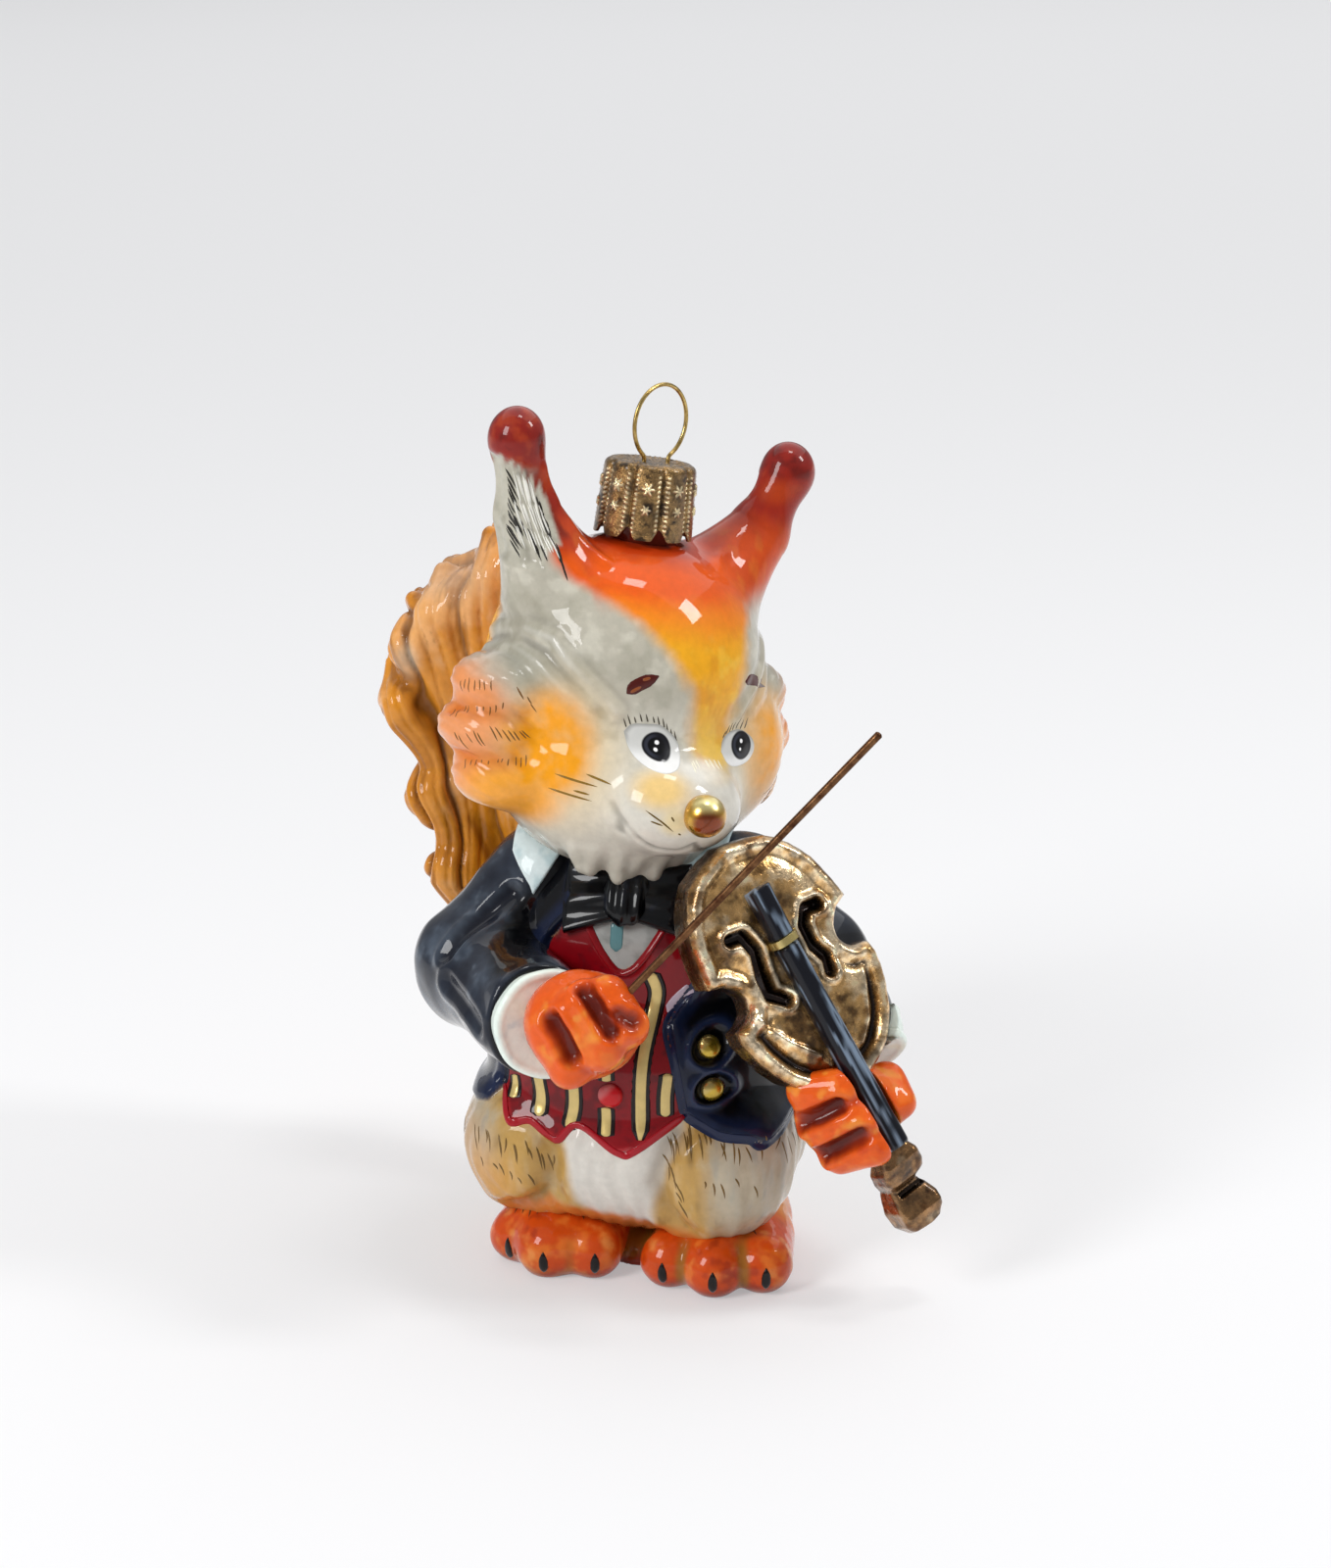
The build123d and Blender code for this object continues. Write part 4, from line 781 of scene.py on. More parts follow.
# Trunk: belly, shirt, waistcoat and coat
TRUNK_LOBES = [
    ((0, 0, 44.1), (17, 14.0, 13.9)), ((0, 0, 29), (20, 18, 12.8)), ((0.3, 0, 17.4), (22.9, 19.1, 13.9)),
    ((-12.3, -7.9, 16.6), (9.6, 10.3, 9.9)), ((12, -9, 15.7), (10.8, 10.1, 11.0))]
OPENING_LEFT = [(-5.2, 61), (-5.2, 50.5), (-9.2, 45.8), (-14.4, 29.6), (-15.2, 25.5)]
HEM = [(-13.8, 22.0), (-10.8, 22.3), (-7.2, 20.3), (-4.2, 22.6), (1.2, 19.7), (3.6, 20.0), (9.6, 24.4)]
OPENING_RIGHT = [(8.2, 31.3), (6.8, 36.0), (9.8, 41.2), (10.4, 46.4), (7.6, 51.6), (7.6, 61)]
NECKLINE = [(-5.2, 50.5), (-3.8, 48.7), (-1.6, 45.2), (0.6, 42.9), (3.0, 44.1), (6.4, 49.3), (7.6, 51.6)]
COAT_HEM = [(-40, 22.6), (-20.0, 22.4), (-17.4, 23.4), (-15.2, 25.5)] + HEM + [
    (14.2, 22.3), (18.0, 21.5), (20.2, 20.6), (22.0, 22.0), (40, 22.3)]
COAT_BUTTONS = [(12.1, 33.1), (12.7, 27.8)]
WAISTCOAT_BUTTONS = [(1.1, 33.9), (0.3, 27.5)]
THIGH_CREASES = [
    [(-8.1, -17.9, 21.0), (-7.8, -18.3, 16.8), (-8.3, -17.3, 12.9), (-10.6, -16.1, 10.4), (-14.6, -13.8, 8.4)],
    [(8.8, -17.2, 22.6), (7.4, -18.4, 19.5), (6.6, -18.7, 15.5), (7.4, -18.3, 11.6), (9.4, -17.5, 8.6)]]


def trunk_form(p):
    """Chest, waist, hips and thighs as ovals, in a soft union."""
    return soft_union([oval(p, centre, radii) for centre, radii in TRUNK_LOBES], 1.0)


def trunk_regions(p):
    """How far each point lies inside the opening of the coat, above its hem and above the neckline, in millimetres."""
    x, y, z = p[:, 0], p[:, 1], p[:, 2]
    front = y < 0
    opening = outline_gap(x, z, OPENING_LEFT + HEM + OPENING_RIGHT)
    opening = np.where(front, opening, 9.0)
    below_front = outline_gap(x, z, [(-40, -9)] + COAT_HEM + [(40, -9)])
    below_back = z - (22.6 - 0.3 * (x + 40) / 80)
    below = np.where(front, below_front, np.where(y < 3, np.minimum(below_front, below_back), below_back))
    neckline = np.where(front, outline_gap(x, z, NECKLINE + [(7.6, 66), (-5.2, 66)]), 9.0)
    return opening, below, neckline


def trunk_relief(p):
    """The coat stands 0.8 mm and the waistcoat 0.4 mm proud, with raised edges, button seats, fur and creases."""
    opening, below, neckline = trunk_regions(p)
    x, y, z = p[:, 0], p[:, 1], p[:, 2]
    coat = ease(opening, -0.1, 0.35) * ease(below, -0.1, 0.35)
    vest = ease(-opening, -0.1, 0.3) * ease(neckline, -0.1, 0.3)
    lift = 0.8 * coat + 0.4 * vest * (1 - coat)
    lift += 0.22 * coat * bell(opening - 0.9, 0.5) + 0.2 * coat * bell(below - 0.9, 0.5)
    lift += 0.25 * coat * cloud(p, 7.0, 31, 2)
    for bx, bz in COAT_BUTTONS:
        d = np.hypot(x - bx, z - bz)
        lift += coat * (y < 0) * (0.5 * bell(d - 2.5, 0.42) - 0.55 * (1 - ease(d, 1.7, 2.3)))
    belly = ease(-below, 0.1, 1.2)
    hair = np.sin(np.arctan2(x, -y) * 42 + 1.6 * np.sin(z * 0.5) + 3 * cloud(p, 6.0, 33, 2))
    lift += belly * (0.09 * hair + 0.25 * cloud(p, 5.0, 34, 2))
    for path in THIGH_CREASES:
        gap = line_gap(p, path)
        lift -= belly * (1.3 * bell(gap, 1.5) - 0.3 * bell(gap - 3.4, 1.4))
    return lift


def trunk_paint(p, normal, lift):
    """Fur first, then the waistcoat, the shirt and the coat, each inside its own outline."""
    opening, below, neckline = trunk_regions(p)
    x, y, z = p[:, 0], p[:, 1], p[:, 2]
    fine, broad = cloud(p, 1.5, 41, 3), cloud(p, 6.0, 42, 3)
    drip = cloud(p * np.array([1.0, 1.0, 0.22]), 1.1, 43, 3)
    paint = painted(
        p, "c19a56",
        ("cdb488", ease(drip, 0.0, 0.6) * 0.7),
        ("7f6238", ease(-drip, 0.1, 0.7) * 0.55))
    white = outline_gap(
        x, z, [(-6.5, 23), (-5.5, 17), (-4.6, 12), (-2, 8), (6, 8), (6.6, 13), (7.5, 18), (9.8, 22.5), (10, 25),
         (-6, 25)])
    paint = brush(paint, "d9d5cc", ease(-white + 0.9 * broad, -0.6, 1.2) * (y < 0))
    side = np.maximum(ease(np.abs(x + 1) - 0.35 * y, 19, 23), ease(y, 2, 8))
    paint = coats(
        paint,
        ("b8b5a8", side * (0.75 + 0.25 * drip)),
        ("9a958a", side * ease(drip, 0.1, 0.5) * 0.6),
        ("d99a44", spot(p, (-17, -14, 13), (6, 6, 5), 0.6) * 0.7),
        ("c98e45", spot(p, (-19, -8, 19), (5, 8, 3), 0.6) * 0.45))
    # Darker brown along the thigh creases: painted shade.
    for path in THIGH_CREASES:
        paint = brush(paint, "8d7248", bell(line_gap(p, path), 1.0) * 0.45)
    low_edge = 0.5 * broad + np.interp(
        x, [-18, -10.6, -8.6, -3.3, 1.8, 6.0, 9.0, 14, 20], [7.6, 9.6, 11.2, 10.4, 9.6, 9.0, 8.4, 7.2, 7.0])
    paint = brush(paint, "cf7a34", ease(low_edge - z, -0.8, 0.6) * ease(-y, 2, 8) * 0.95)
    vest = ease(-opening, -0.05, 0.2) * ease(neckline, -0.05, 0.2)
    # The lighter red along the lower edge of the waistcoat is a painted highlight on its rim.
    paint = coats(
        paint,
        ("85000e", vest),
        ("4d0510", vest * ease(fine + broad, 0.1, 0.6) * 0.6),
        ("c4222b", vest * (1 - ease(below, 0.2, 0.8)) * 0.6))
    shirt = ease(-opening, -0.1, 0.2) * ease(-neckline, -0.1, 0.15) * (y < 0)
    paint = coats(
        paint,
        ("a9aba8", shirt),
        ("7d807c", shirt * ease(fine + broad, 0.0, 0.6) * 0.6))
    coat = ease(opening, -0.15, 0.1) * ease(below, -0.15, 0.1)
    # The slate on the back of the coat is painted sheen.
    navy = painted(
        p, "06070c",
        ("151c2c", ease(broad + 0.6 * fine, 0.1, 0.7) * 0.6),
        ("16213f", (1 - ease(opening, 1.3, 2.6)) * (0.75 + 0.4 * fine)),
        ("172445", (1 - ease(below, 1.2, 2.4)) * (0.75 + 0.4 * fine)),
        ("4a5462", ease(y, 2, 8) * 0.35 * ease(broad, -0.2, 0.4)))
    for bx, bz in COAT_BUTTONS:
        d = np.hypot(x - bx, z - bz)
        navy = coats(
            navy,
            ("24345a", bell(d - 2.5, 0.5) * 0.7 * (y < 0)),
            ("050508", (1 - ease(d, 1.9, 2.3)) * (y < 0)))
    paint = paint * (1 - coat[:, None]) + navy * coat[:, None]
    return np.clip(paint, 0, 1)


TRUNK_SKIN = (trunk_form, trunk_relief)
skin_piece(
    "trunk_glass", TRUNK_SKIN, (-26, -22, 1), (26, 22, 62), trunk_paint, PAINT,
    ("coat", "waistcoat", "shirt_front", "belly"), GRAIN * 1.05)

# Outline of the violin
VIOLIN_SIDE = np.concatenate(
    [curve_through(bout, 14) for bout in ([(0, -14.0), (6.2, -12.0), (9.8, -7.2), (11.1, -2.4), (11.5, 0.3)],
      [(9.5, 1.0), (8.0, 2.7), (7.7, 4.4), (8.6, 6.2), (11.0, 7.0)],
      [(11.2, 8.8), (10.3, 12.6), (8.4, 16.6), (5.2, 19.8), (1.8, 21.2)])])
VIOLIN_OUTLINE = np.concatenate([VIOLIN_SIDE, VIOLIN_SIDE[:0:-1] * [-1, 1]])

# Arms, cuffs and paws
RIGHT_PAW = np.array([-1.0, -28.26, 40.6])
LEFT_PAW = from_violin([2.584, 24.18, -3.6])
PAW = np.array([7.6, 6.0, 7.2])
RIGHT_FINGERS = [
    ((.53, -.45, .76), 2.41, (.88, -.55, .19), 2.69), ((.01, -.60, .53), 2.60, (.47, -.70, -.19), 2.91),
    ((-.53, -.45, .08), 2.60, (-.11, -.60, -.61), 2.91)]
LEFT_FINGERS = [
    ((-.62, -.58, .50), 2.69, (-.03, -.72, .67), 2.49), ((-.38, -.68, -.11), 2.69, (.33, -.82, .11), 2.60),
    ((-.01, -.65, -.64), 2.69, (.59, -.78, -.39), 2.60), ((.62, .55, .46), 2.49, (.86, .22, .15), 2.41)]


def near(centre, shares):
    """A place that lies some shares of a paw's size from a centre."""
    return centre + np.array(shares) * PAW


CUFF_AXIS = unit([0.616, -0.783, 0.116])
CUFF_RIM = near(RIGHT_PAW, (-0.66, 0.36, -0.16))
CUFF_SEAM = CUFF_RIM - 2.7 * CUFF_AXIS


def right_sleeve_form(p):
    """Upper arm and forearm, cut off square at the cuff."""
    return soft_union(
        [limb(p, (-12, -1.1, 51.0), 7.8, (-20.4, -5.0, 40.0), 7.8),
         rounded_cut(limb(p, (-20.8, -5.9, 39.4), 7.6, (-6.5, -25.4, 39.2), 7.3), (p - CUFF_SEAM) @ CUFF_AXIS,
          0.8)], 1.5)


def left_sleeve_form(p):
    """Upper arm and forearm as limbs, in a soft union."""
    wrist = LEFT_PAW + np.array([-.14, 1.33, 1.42]) * PAW
    return soft_union(
        [limb(p, (13.6, 1.1, 51.0), 7.3, (22.4, -2.0, 43.5), 6.8), limb(p, (25, -2.5, 41.8), 6.6, wrist, 5.6)],
        1.5)


def under_fingerboard(p):
    """Where a paw must give way to the fingerboard that passes in front of it."""
    q = to_violin(p)
    return np.maximum(np.abs(q[..., 0] - 0.035 * q[..., 1]) - 2.1, 0.1 - q[..., 2])


def paw_form(centre, radii, fingers):
    """An oval and a limb for each finger, in a soft union, cut where the fingerboard passes."""
    def form(p):
        gaps = [oval(p, centre, radii)]
        gaps += [
            limb(p, centre + np.array(a) * PAW, ra, centre + np.array(b) * PAW, rb) for a, ra, b, rb in fingers]
        return rounded_cut(soft_union(gaps, 0.6) + 0.12, -under_fingerboard(p), 0.3)
    return form


right_paw_form = paw_form(RIGHT_PAW, PAW, RIGHT_FINGERS)
left_paw_form = paw_form(LEFT_PAW, PAW * 0.93, LEFT_FINGERS)

# Sleeves: two folds and the crease inside the elbow, which the paint darkens as painted shade
SLEEVE_FOLDS = [
    [(-14.9, -9.4, 51.1), (-17.5, -10.8, 48.5), (-20.9, -13.3, 45.8), (-22.3, -14.6, 44.0)],
    [(-21.8, -17.6, 41.0), (-18.0, -23.3, 40.0), (-15.3, -25.9, 38.5)]]
ELBOW_CREASE = [(-12.0, -9.9, 48.0), (-13.2, -16.5, 45.6), (-11.6, -22.4, 44.8)]


def sleeve_relief(p):
    """Waves of sine and noise, a groove with a raised edge along each fold, and a hollow inside the elbow."""
    folds = np.sin(p[:, 2] * 0.55 + p[:, 0] * 0.35 + 2.2 * cloud(p, 9.0, 51, 2))
    lift = 0.15 * folds + 0.3 * cloud(p, 6.0, 52, 2)
    for path in SLEEVE_FOLDS:
        gap = line_gap(p, path)
        lift += 0.3 * bell(gap - 2.0, 0.8) - 0.6 * bell(gap, 1.1)
    return lift - 0.5 * ridge(p, ELBOW_CREASE, 1.8)


def sleeve_paint(p, normal, lift):
    """Dark blue with paler painted sheen where swept noise is high, and nearly black painted shade in the folds, in
    the crease inside the elbow and on the inner side.
    """
    fine, broad = cloud(p, 1.4, 53, 3), cloud(p, 7.0, 54, 3)
    sweep = cloud(
        (p @ np.array([[0.8, 0.1, 0.6], [0.1, 1, 0], [-0.6, 0, 0.8]])) * np.array([0.25, 1, 1]), 2.2, 55, 3)
    # The inner side, found from the way each point faces, gets painted shade.
    inner = ease(normal @ np.array([0.75, -0.35, -0.45]) + 0.25 * broad + 0.15 * sweep, -0.05, 0.45)
    paint = painted(
        p, "262c38",
        ("4f5a68", ease(broad + 0.7 * sweep, -0.2, 0.5) * 0.75),
        ("76818e", ease(sweep + 0.5 * fine, 0.3, 0.75) * 0.35),
        ("0d1220", ease(-broad - 0.4 * sweep, 0.1, 0.5) * 0.8))
    for path, dark in zip(SLEEVE_FOLDS, (0.9, 0.45)):
        paint = brush(paint, "0a0e1c", (1 - ease(line_gap(p, path) + 0.4 * fine, 0.4, 1.8)) * dark)
    return coats(
        paint,
        ("04050a", 1 - ease(line_gap(p, ELBOW_CREASE) + 0.5 * fine, 1.9, 3.4)),
        ("04050a", inner * 0.95))


skin_piece(
    "right_sleeve_glass", (right_sleeve_form, sleeve_relief), (-32, -30, 27), (-1, 10, 62), sleeve_paint, PAINT,
    ("right_sleeve",))
skin_piece(
    "left_sleeve_glass", (left_sleeve_form, sleeve_relief), (3, -18, 24), (35, 12, 62), sleeve_paint, PAINT,
    ("left_sleeve",))


def cuff(name, start, end, radius, rim, node):
    """A flared cuff: a profile of (share along, radius) turned round its axis, with a rolled rim."""
    start, end = np.asarray(start, float), np.asarray(end, float)
    length, axis = np.linalg.norm(end - start), unit(end - start)
    side = unit(np.cross(axis, (0, 0, 1)))
    over = np.cross(side, axis)
    profile = [
        (0.001, -0.3), (radius * 0.92, -0.3), (radius, 0.2), ((radius + rim) / 2, length * 0.45),
        (rim - 0.35, length - 1.5), (rim - 0.02, length - 0.9), (rim, length - 0.45),
        (rim - 0.25, length - 0.05), (rim - 0.8, length), (rim - 1.6, length - 0.25),
        (rim - 3.2, length - 0.35), (0.001, length - 0.4)]
    profile = curve_through(profile, 60)
    profile[:, 0] = np.maximum(profile[:, 0], 0.001)
    a = round_angles(96)
    swell = 1 + 0.012 * np.sin(3 * a + 1) + 0.008 * np.sin(7 * a)
    points = start + profile[:, 1][:, None, None] * axis + (profile[:, 0][:, None] * swell)[..., None] * (
        np.cos(a)[:, None] * side + np.sin(a)[:, None] * over)
    points = points.reshape(-1, 3)
    q = to_violin(points)
    behind = outline_gap(q[:, 0], q[:, 1], VIOLIN_OUTLINE) < 1.0
    q[:, 2] = np.where(behind, np.minimum(q[:, 2], -5.4 + 0.05 * np.tanh(q[:, 2] + 5.4)), q[:, 2])
    points = from_violin(q)
    fine = cloud(points, 1.6, 61, 3)
    paint = painted(
        points, "ecf8ef",
        ("c9dedd", ease(fine, 0.1, 0.7)),
        ("e9e6c4", ease(cloud(points, 3.0, 62, 2), 0.1, 0.6) * 0.6))
    piece(name, points, grid_quads(60, 96), finish=PAINT, nodes=(node,), paint=paint)


cuff("right_cuff_glass", CUFF_RIM - 5.0 * CUFF_AXIS, CUFF_RIM, 6.0, 7.1, "right_cuff")
cuff(
    "left_cuff_glass", near(LEFT_PAW, (-.09, 1.22, 1.31)), near(LEFT_PAW, (.07, .72, .88)), 6.43, 6.7,
    "left_cuff")

# Paws: the lines along which their fingers part
RIGHT_GAPS = [
    [(-3.6, -33.9, 43.0), (-2.2, -34.4, 41.2), (-0.9, -34.5, 38.6)],
    [(0.4, -32.7, 46.8), (2.3, -33.7, 44.7), (4.1, -34.1, 42.2)],
    [(4.9, -33.2, 43.9), (5.7, -33.2, 43.5), (6.6, -33.0, 43.2)]]
LEFT_GAPS = [
    [(25.6, -20.2, 26.3), (28.2, -20.8, 27.8), (30.6, -20.9, 29.4)],
    [(28.5, -20.2, 22.2), (31.0, -21.1, 24.0), (33.8, -21.8, 26.0)]]


def paw_skin(form, gaps):
    """Relief and paint of a paw whose fingers part along the given lines."""
    def relief(p):
        """A dip along each line where fingers part, with a swelling on both sides of it."""
        lift = 0.18 * cloud(p, 3.0, 74, 2)
        for path in gaps:
            gap = line_gap(p, path)
            lift += 0.25 * bell(gap - 1.9, 0.5) - 1.15 * (1 - ease(gap, 0.2, 1.5))
        return lift

    def paint_of(p, normal, lift):
        """Orange mottled by noise, with painted shade in the hollows and where fingers part."""
        fine, broad = cloud(p, 1.3, 71, 3), cloud(p, 3.5, 72, 3)
        paint = painted(
            p, "e65a0e",
            ("ee7426", ease(broad + 0.6 * fine, 0.05, 0.6) * 0.75),
            ("c23404", ease(-broad - 0.4 * fine, 0.1, 0.6) * 0.6),
            ("efa03a", ease(cloud(p, 2.2, 73, 2) + 0.2 * fine, 0.3, 0.6) * 0.55))
        # Painted shade where the paw's own form lies close outside a point.
        hollow = form(p + 0.9 * normal) - 0.9
        paint = brush(paint, "b8320c", ease(-hollow, 0.10, 0.30) * 0.7)
        for path in gaps:
            gap = line_gap(p, path) + 0.25 * fine
            paint = coats(
                paint,
                ("a8340f", (1 - ease(gap, 1.1, 1.8)) * 0.75),
                ("76200f", (1 - ease(gap, 0.7, 1.3)) * 0.85),
                ("4c0c08", (1 - ease(gap, 0.2, 0.75)) * 0.6))
        return paint
    return (form, relief), paint_of


RIGHT_PAW_SKIN, right_paw_paint = paw_skin(right_paw_form, RIGHT_GAPS)
LEFT_PAW_SKIN, left_paw_paint = paw_skin(left_paw_form, LEFT_GAPS)
skin_piece(
    "right_paw_glass", RIGHT_PAW_SKIN, RIGHT_PAW - 11, RIGHT_PAW + 11, right_paw_paint, PAINT, ("right_paw",),
    GRAIN * 0.7)
skin_piece(
    "left_paw_glass", LEFT_PAW_SKIN, LEFT_PAW - 11, LEFT_PAW + 11, left_paw_paint, PAINT, ("left_paw",),
    GRAIN * 0.7)

# Bow: a straight wire from inside the right fist
bow_foot = near(RIGHT_PAW, (.46, -.42, .30))
bow_points = bow_foot + unit([0.663, 0.049, 0.747]) * np.linspace(0, 50.6, 60)[:, None]
points, quads = tube(bow_points, 0.5, 20)
BOW_WIRE = metal("bow_wire", "3b1d14", "7d5a3c", roughness=0.32, grain=700)
piece("bow_wire", points, quads, finish=BOW_WIRE, nodes=("bow",))

# Feet
RIGHT_TOES = [
    ((-0.56, -0.14, 0.29), 0.85, (-0.68, -0.51, 0.29), 0.90), ((-0.06, -0.36, 0.33), 0.97, (-0.10, -0.79, 0.31),
     1.00), ((0.57, -0.36, 0.33), 0.93, (0.59, -0.74, 0.31), 0.97)]
LEFT_TOES = [
    ((-0.48, -0.36, 0.31), 0.93, (-0.59, -0.81, 0.31), 0.95), ((0.12, -0.43, 0.33), 1.00, (0.12, -0.91, 0.31),
     1.02), ((0.68, -0.14, 0.31), 0.93, (0.79, -0.73, 0.31), 1.00)]
FEET = ((np.array([-8.5, -3.06, 0]), RIGHT_TOES), (np.array([12.5, -3.06, 0]), LEFT_TOES))
FOOT, TOE = np.array([9.0, 14.0, 11.0]), 3.96


def feet_form(p):
    """An oval for each foot with a limb for each toe, cut level at the floor, and a web between the feet."""
    gaps = []
    for centre, toes in FEET:
        gaps.append(oval(p, centre + np.array([0, 0, 0.36]) * FOOT, np.array([1, 1, 0.64]) * FOOT))
        gaps += [
            limb(p, centre + np.array(a) * FOOT, ra * TOE, centre + np.array(b) * FOOT, rb * TOE)
            for a, ra, b, rb in toes]
    gaps.append(oval(p, (2.0, -3.06, 0), (4.95, 7.0, 4.6)))
    return np.maximum(soft_union(gaps, 0.6), 0.02 - p[..., 2])


def feet_relief(p):
    """Noise that fades out towards the floor."""
    return ease(p[:, 2], 0.4, 1.5) * 0.16 * cloud(p, 3.0, 81, 2)


def feet_paint(p, normal, lift):
    """Orange mottled by noise, darker at the floor, and brown painted shade between the toes."""
    y, z = p[:, 1], p[:, 2]
    fine, broad = cloud(p, 1.3, 82, 3), cloud(p, 3.6, 83, 3)
    paint = painted(
        p, "d04a08",
        ("e67a2a", ease(broad + 0.5 * fine, 0.05, 0.5) * 0.75),
        ("eaa052", ease(cloud(p, 4.0, 84, 2) + 0.3 * fine, 0.2, 0.5) * 0.5),
        ("a02c04", ease(-broad - 0.5 * fine, 0.2, 0.6) * 0.7),
        ("d9a05a", ease(y, -9, -3) * 0.7 * ease(z, 4, 8)),
        ("8a2e06", (1 - ease(z, 0.6, 2.2)) * 0.6))
    # Painted shade where the feet's own form lies close outside a point.
    hollow = feet_form(p + 0.9 * normal) - 0.9
    return brush(paint, "96641f", ease(-hollow, 0.08, 0.26) * ease(z, 0.5, 1.5) * 0.92)


FEET_SKIN = (feet_form, feet_relief)
skin_piece(
    "feet_glass", FEET_SKIN, (-20, -21, -0.6), (25, 13, 11), feet_paint, PAINT, ("right_foot", "left_foot"),
    GRAIN * 0.8)

# Tail: a leaning plume whose thick locks of fur leave its core and end in tips along its outline
TAIL_CORE = [
    ((-26.0, 24.0, 74.0), (12.2, 7.8, 16.0)), ((-22.5, 24.0, 56.0), (9.4, 7.3, 16.4)),
    ((-18.4, 22.0, 40.0), (9.1, 7.3, 13.3)), ((-9.5, 19.2, 26.5), (8.25, 7.15, 10.9))]
TAIL_SPINE = np.array(
    [(-9.5, 19.2, 22.9), (-15.1, 22.0, 33.8), (-20.5, 23.0, 43.9), (-22.0, 24.0, 51.7), (-22.5, 24.0, 61.9),
     (-25.0, 24.0, 82.2)])
LOCK_TIPS = [
    (-29.4, 40.8), (-33.5, 52.5), (-36.5, 63.0), (-41.1, 75.5), (-38.3, 84.1), (-33.8, 88.4), (-28.4, 90.7),
    (-23.0, 93.8), (-17.0, 90.5), (-12.4, 83.5), (-9.5, 75.0), (-9.8, 64.5), (-10.0, 54.1), (-8.5, 43.9)]


def on_spine(z):
    """The point of the tail's centre line at one height."""
    return np.array(
        [np.interp(z, TAIL_SPINE[:, 2], TAIL_SPINE[:, 0]), np.interp(z, TAIL_SPINE[:, 2], TAIL_SPINE[:, 1]), z])


def tail_lock(x, z, layer):
    """Root, middle and tip of a lock of fur, each with its radius."""
    root, middle, tip = on_spine(z - 21.0), on_spine(z - 7.0), on_spine(z - 2.0)
    away = abs(x - tip[0])
    root += [0.35 * (x - root[0]), 4.77 * layer, 0]
    middle += [0.76 * (x - middle[0]), 6.27 * layer, 0]
    tip += [(away - 2.0) / away * (x - tip[0]), 2.19 * layer, 0]
    return (root, 2.6), (middle, 4.0), (tip, 2.0)


LOCKS = [tail_lock(x, z, layer) for x, z in LOCK_TIPS for layer in (-1, 1)]


def tail_form(p):
    """A core of ovals with a limb of two lengths for each lock of fur."""
    gaps = [oval(p, centre, radii) for centre, radii in TAIL_CORE]
    for (root, root_radius), (middle, middle_radius), (tip, tip_radius) in LOCKS:
        gaps += [
            limb(p, root, root_radius, middle, middle_radius), limb(p, middle, middle_radius, tip, tip_radius)]
    return soft_union(gaps, 0.6) + 0.22


def tail_flow(p):
    """A number that stays the same along the fur, which runs from the foot of the tail to its tips."""
    across = p[:, 0] - np.interp(p[:, 2], TAIL_SPINE[:, 2], TAIL_SPINE[:, 0])
    half = np.interp(p[:, 2], [16, 34, 44, 52, 62, 72, 80, 86, 92], [8, 12, 13, 12, 14, 16.5, 18, 19, 20])
    return across / half + 0.15 * cloud(p * [1, 1, 0.45], 8.0, 91, 2)


def tail_relief(p):
    """Grooves where |sin| is small: of 7 times the flow for the ropes of fur, and of 23 times for the strands."""
    flow = tail_flow(p)
    turn = 1.5 * np.tanh((p[:, 1] - 24) / 2) + 1.3 * cloud(p * [1, 1, 0.16], 6.0, 92, 2)
    ropes = np.abs(np.sin(7 * flow + turn))
    strands = np.abs(np.sin(23 * flow + 2 * turn))
    return -1.1 * (1 - ropes) ** 2.4 - 0.3 * (1 - strands) ** 2


def tail_paint(p, normal, lift):
    """Orange brown, streaked along the flow, with painted shade in the grooves and between the locks."""
    fine, broad = cloud(p, 1.6, 93, 3), cloud(p, 7.0, 94, 3)
    paint = painted(
        p, "dc9134",
        ("f0b474", ease(broad + 0.4 * fine, 0.0, 0.6) * 0.8),
        ("bb7212", ease(-broad - 0.4 * fine, 0.0, 0.6) * 0.8))
    streak = cloud(np.stack([26 * tail_flow(p), p[:, 1] * 0.4, p[:, 2] * 0.16], -1), 2.0, 95, 3)
    paint = coats(
        paint,
        ("e09016", ease(streak, 0.1, 0.4) * 0.7),
        ("8c5210", ease(-streak, 0.2, 0.45) * 0.6))
    # Painted shade between the locks and in the grooves.
    hollow = tail_form(p + 2.2 * normal) - 2.2
    return coats(
        paint,
        ("94580e", ease(-hollow, 0.2, 0.9) * 0.75),
        ("6b3c0c", ease(-lift, 0.45, 1.1) * 0.8),
        ("c9a98a", spot(p, (-30, 18, 88), (7, 9, 4), 0.6) * 0.5),
        ("cfcab8", spot(p, (-35.5, 17, 76), (2.0, 5, 2.6), 0.6) * 0.5))


skin_piece(
    "tail_glass", (tail_form, tail_relief), (-44, 10, 13), (-1, 37, 97), tail_paint, PAINT, ("tail",),
    GRAIN * 1.1)

# Violin: a thick rounded plate with a beaded edge, two sound holes and scrolled ridges
SOUND_HOLES = [
    [(5.8, -3.6), (4.2, -3.2), (3.7, -0.6), (4.5, 2.5), (4.8, 5.2), (3.4, 6.9)],
    [(-7.0, -1.0), (-5.2, -1.5), (-3.8, 0.2), (-3.6, 3.0), (-4.4, 5.4), (-3.9, 7.0)]]
SCROLLED_RIDGES = [
    [(8.6, 5.6), (7.6, 8.4), (6.2, 11.6), (3.6, 15.2)], [(-8.2, 9.4), (-6.3, 12.2), (-4.9, 15.0), (-2.6, 17.0)]]


def violin_form(p):
    """The plate: its outline and its thickness of 6 mm, with the edge between them rounded."""
    q = to_violin(p)
    return rounded_cut(outline_gap(q[..., 0], q[..., 1], VIOLIN_OUTLINE), np.abs(q[..., 2] + 3) - 3, 1.1)


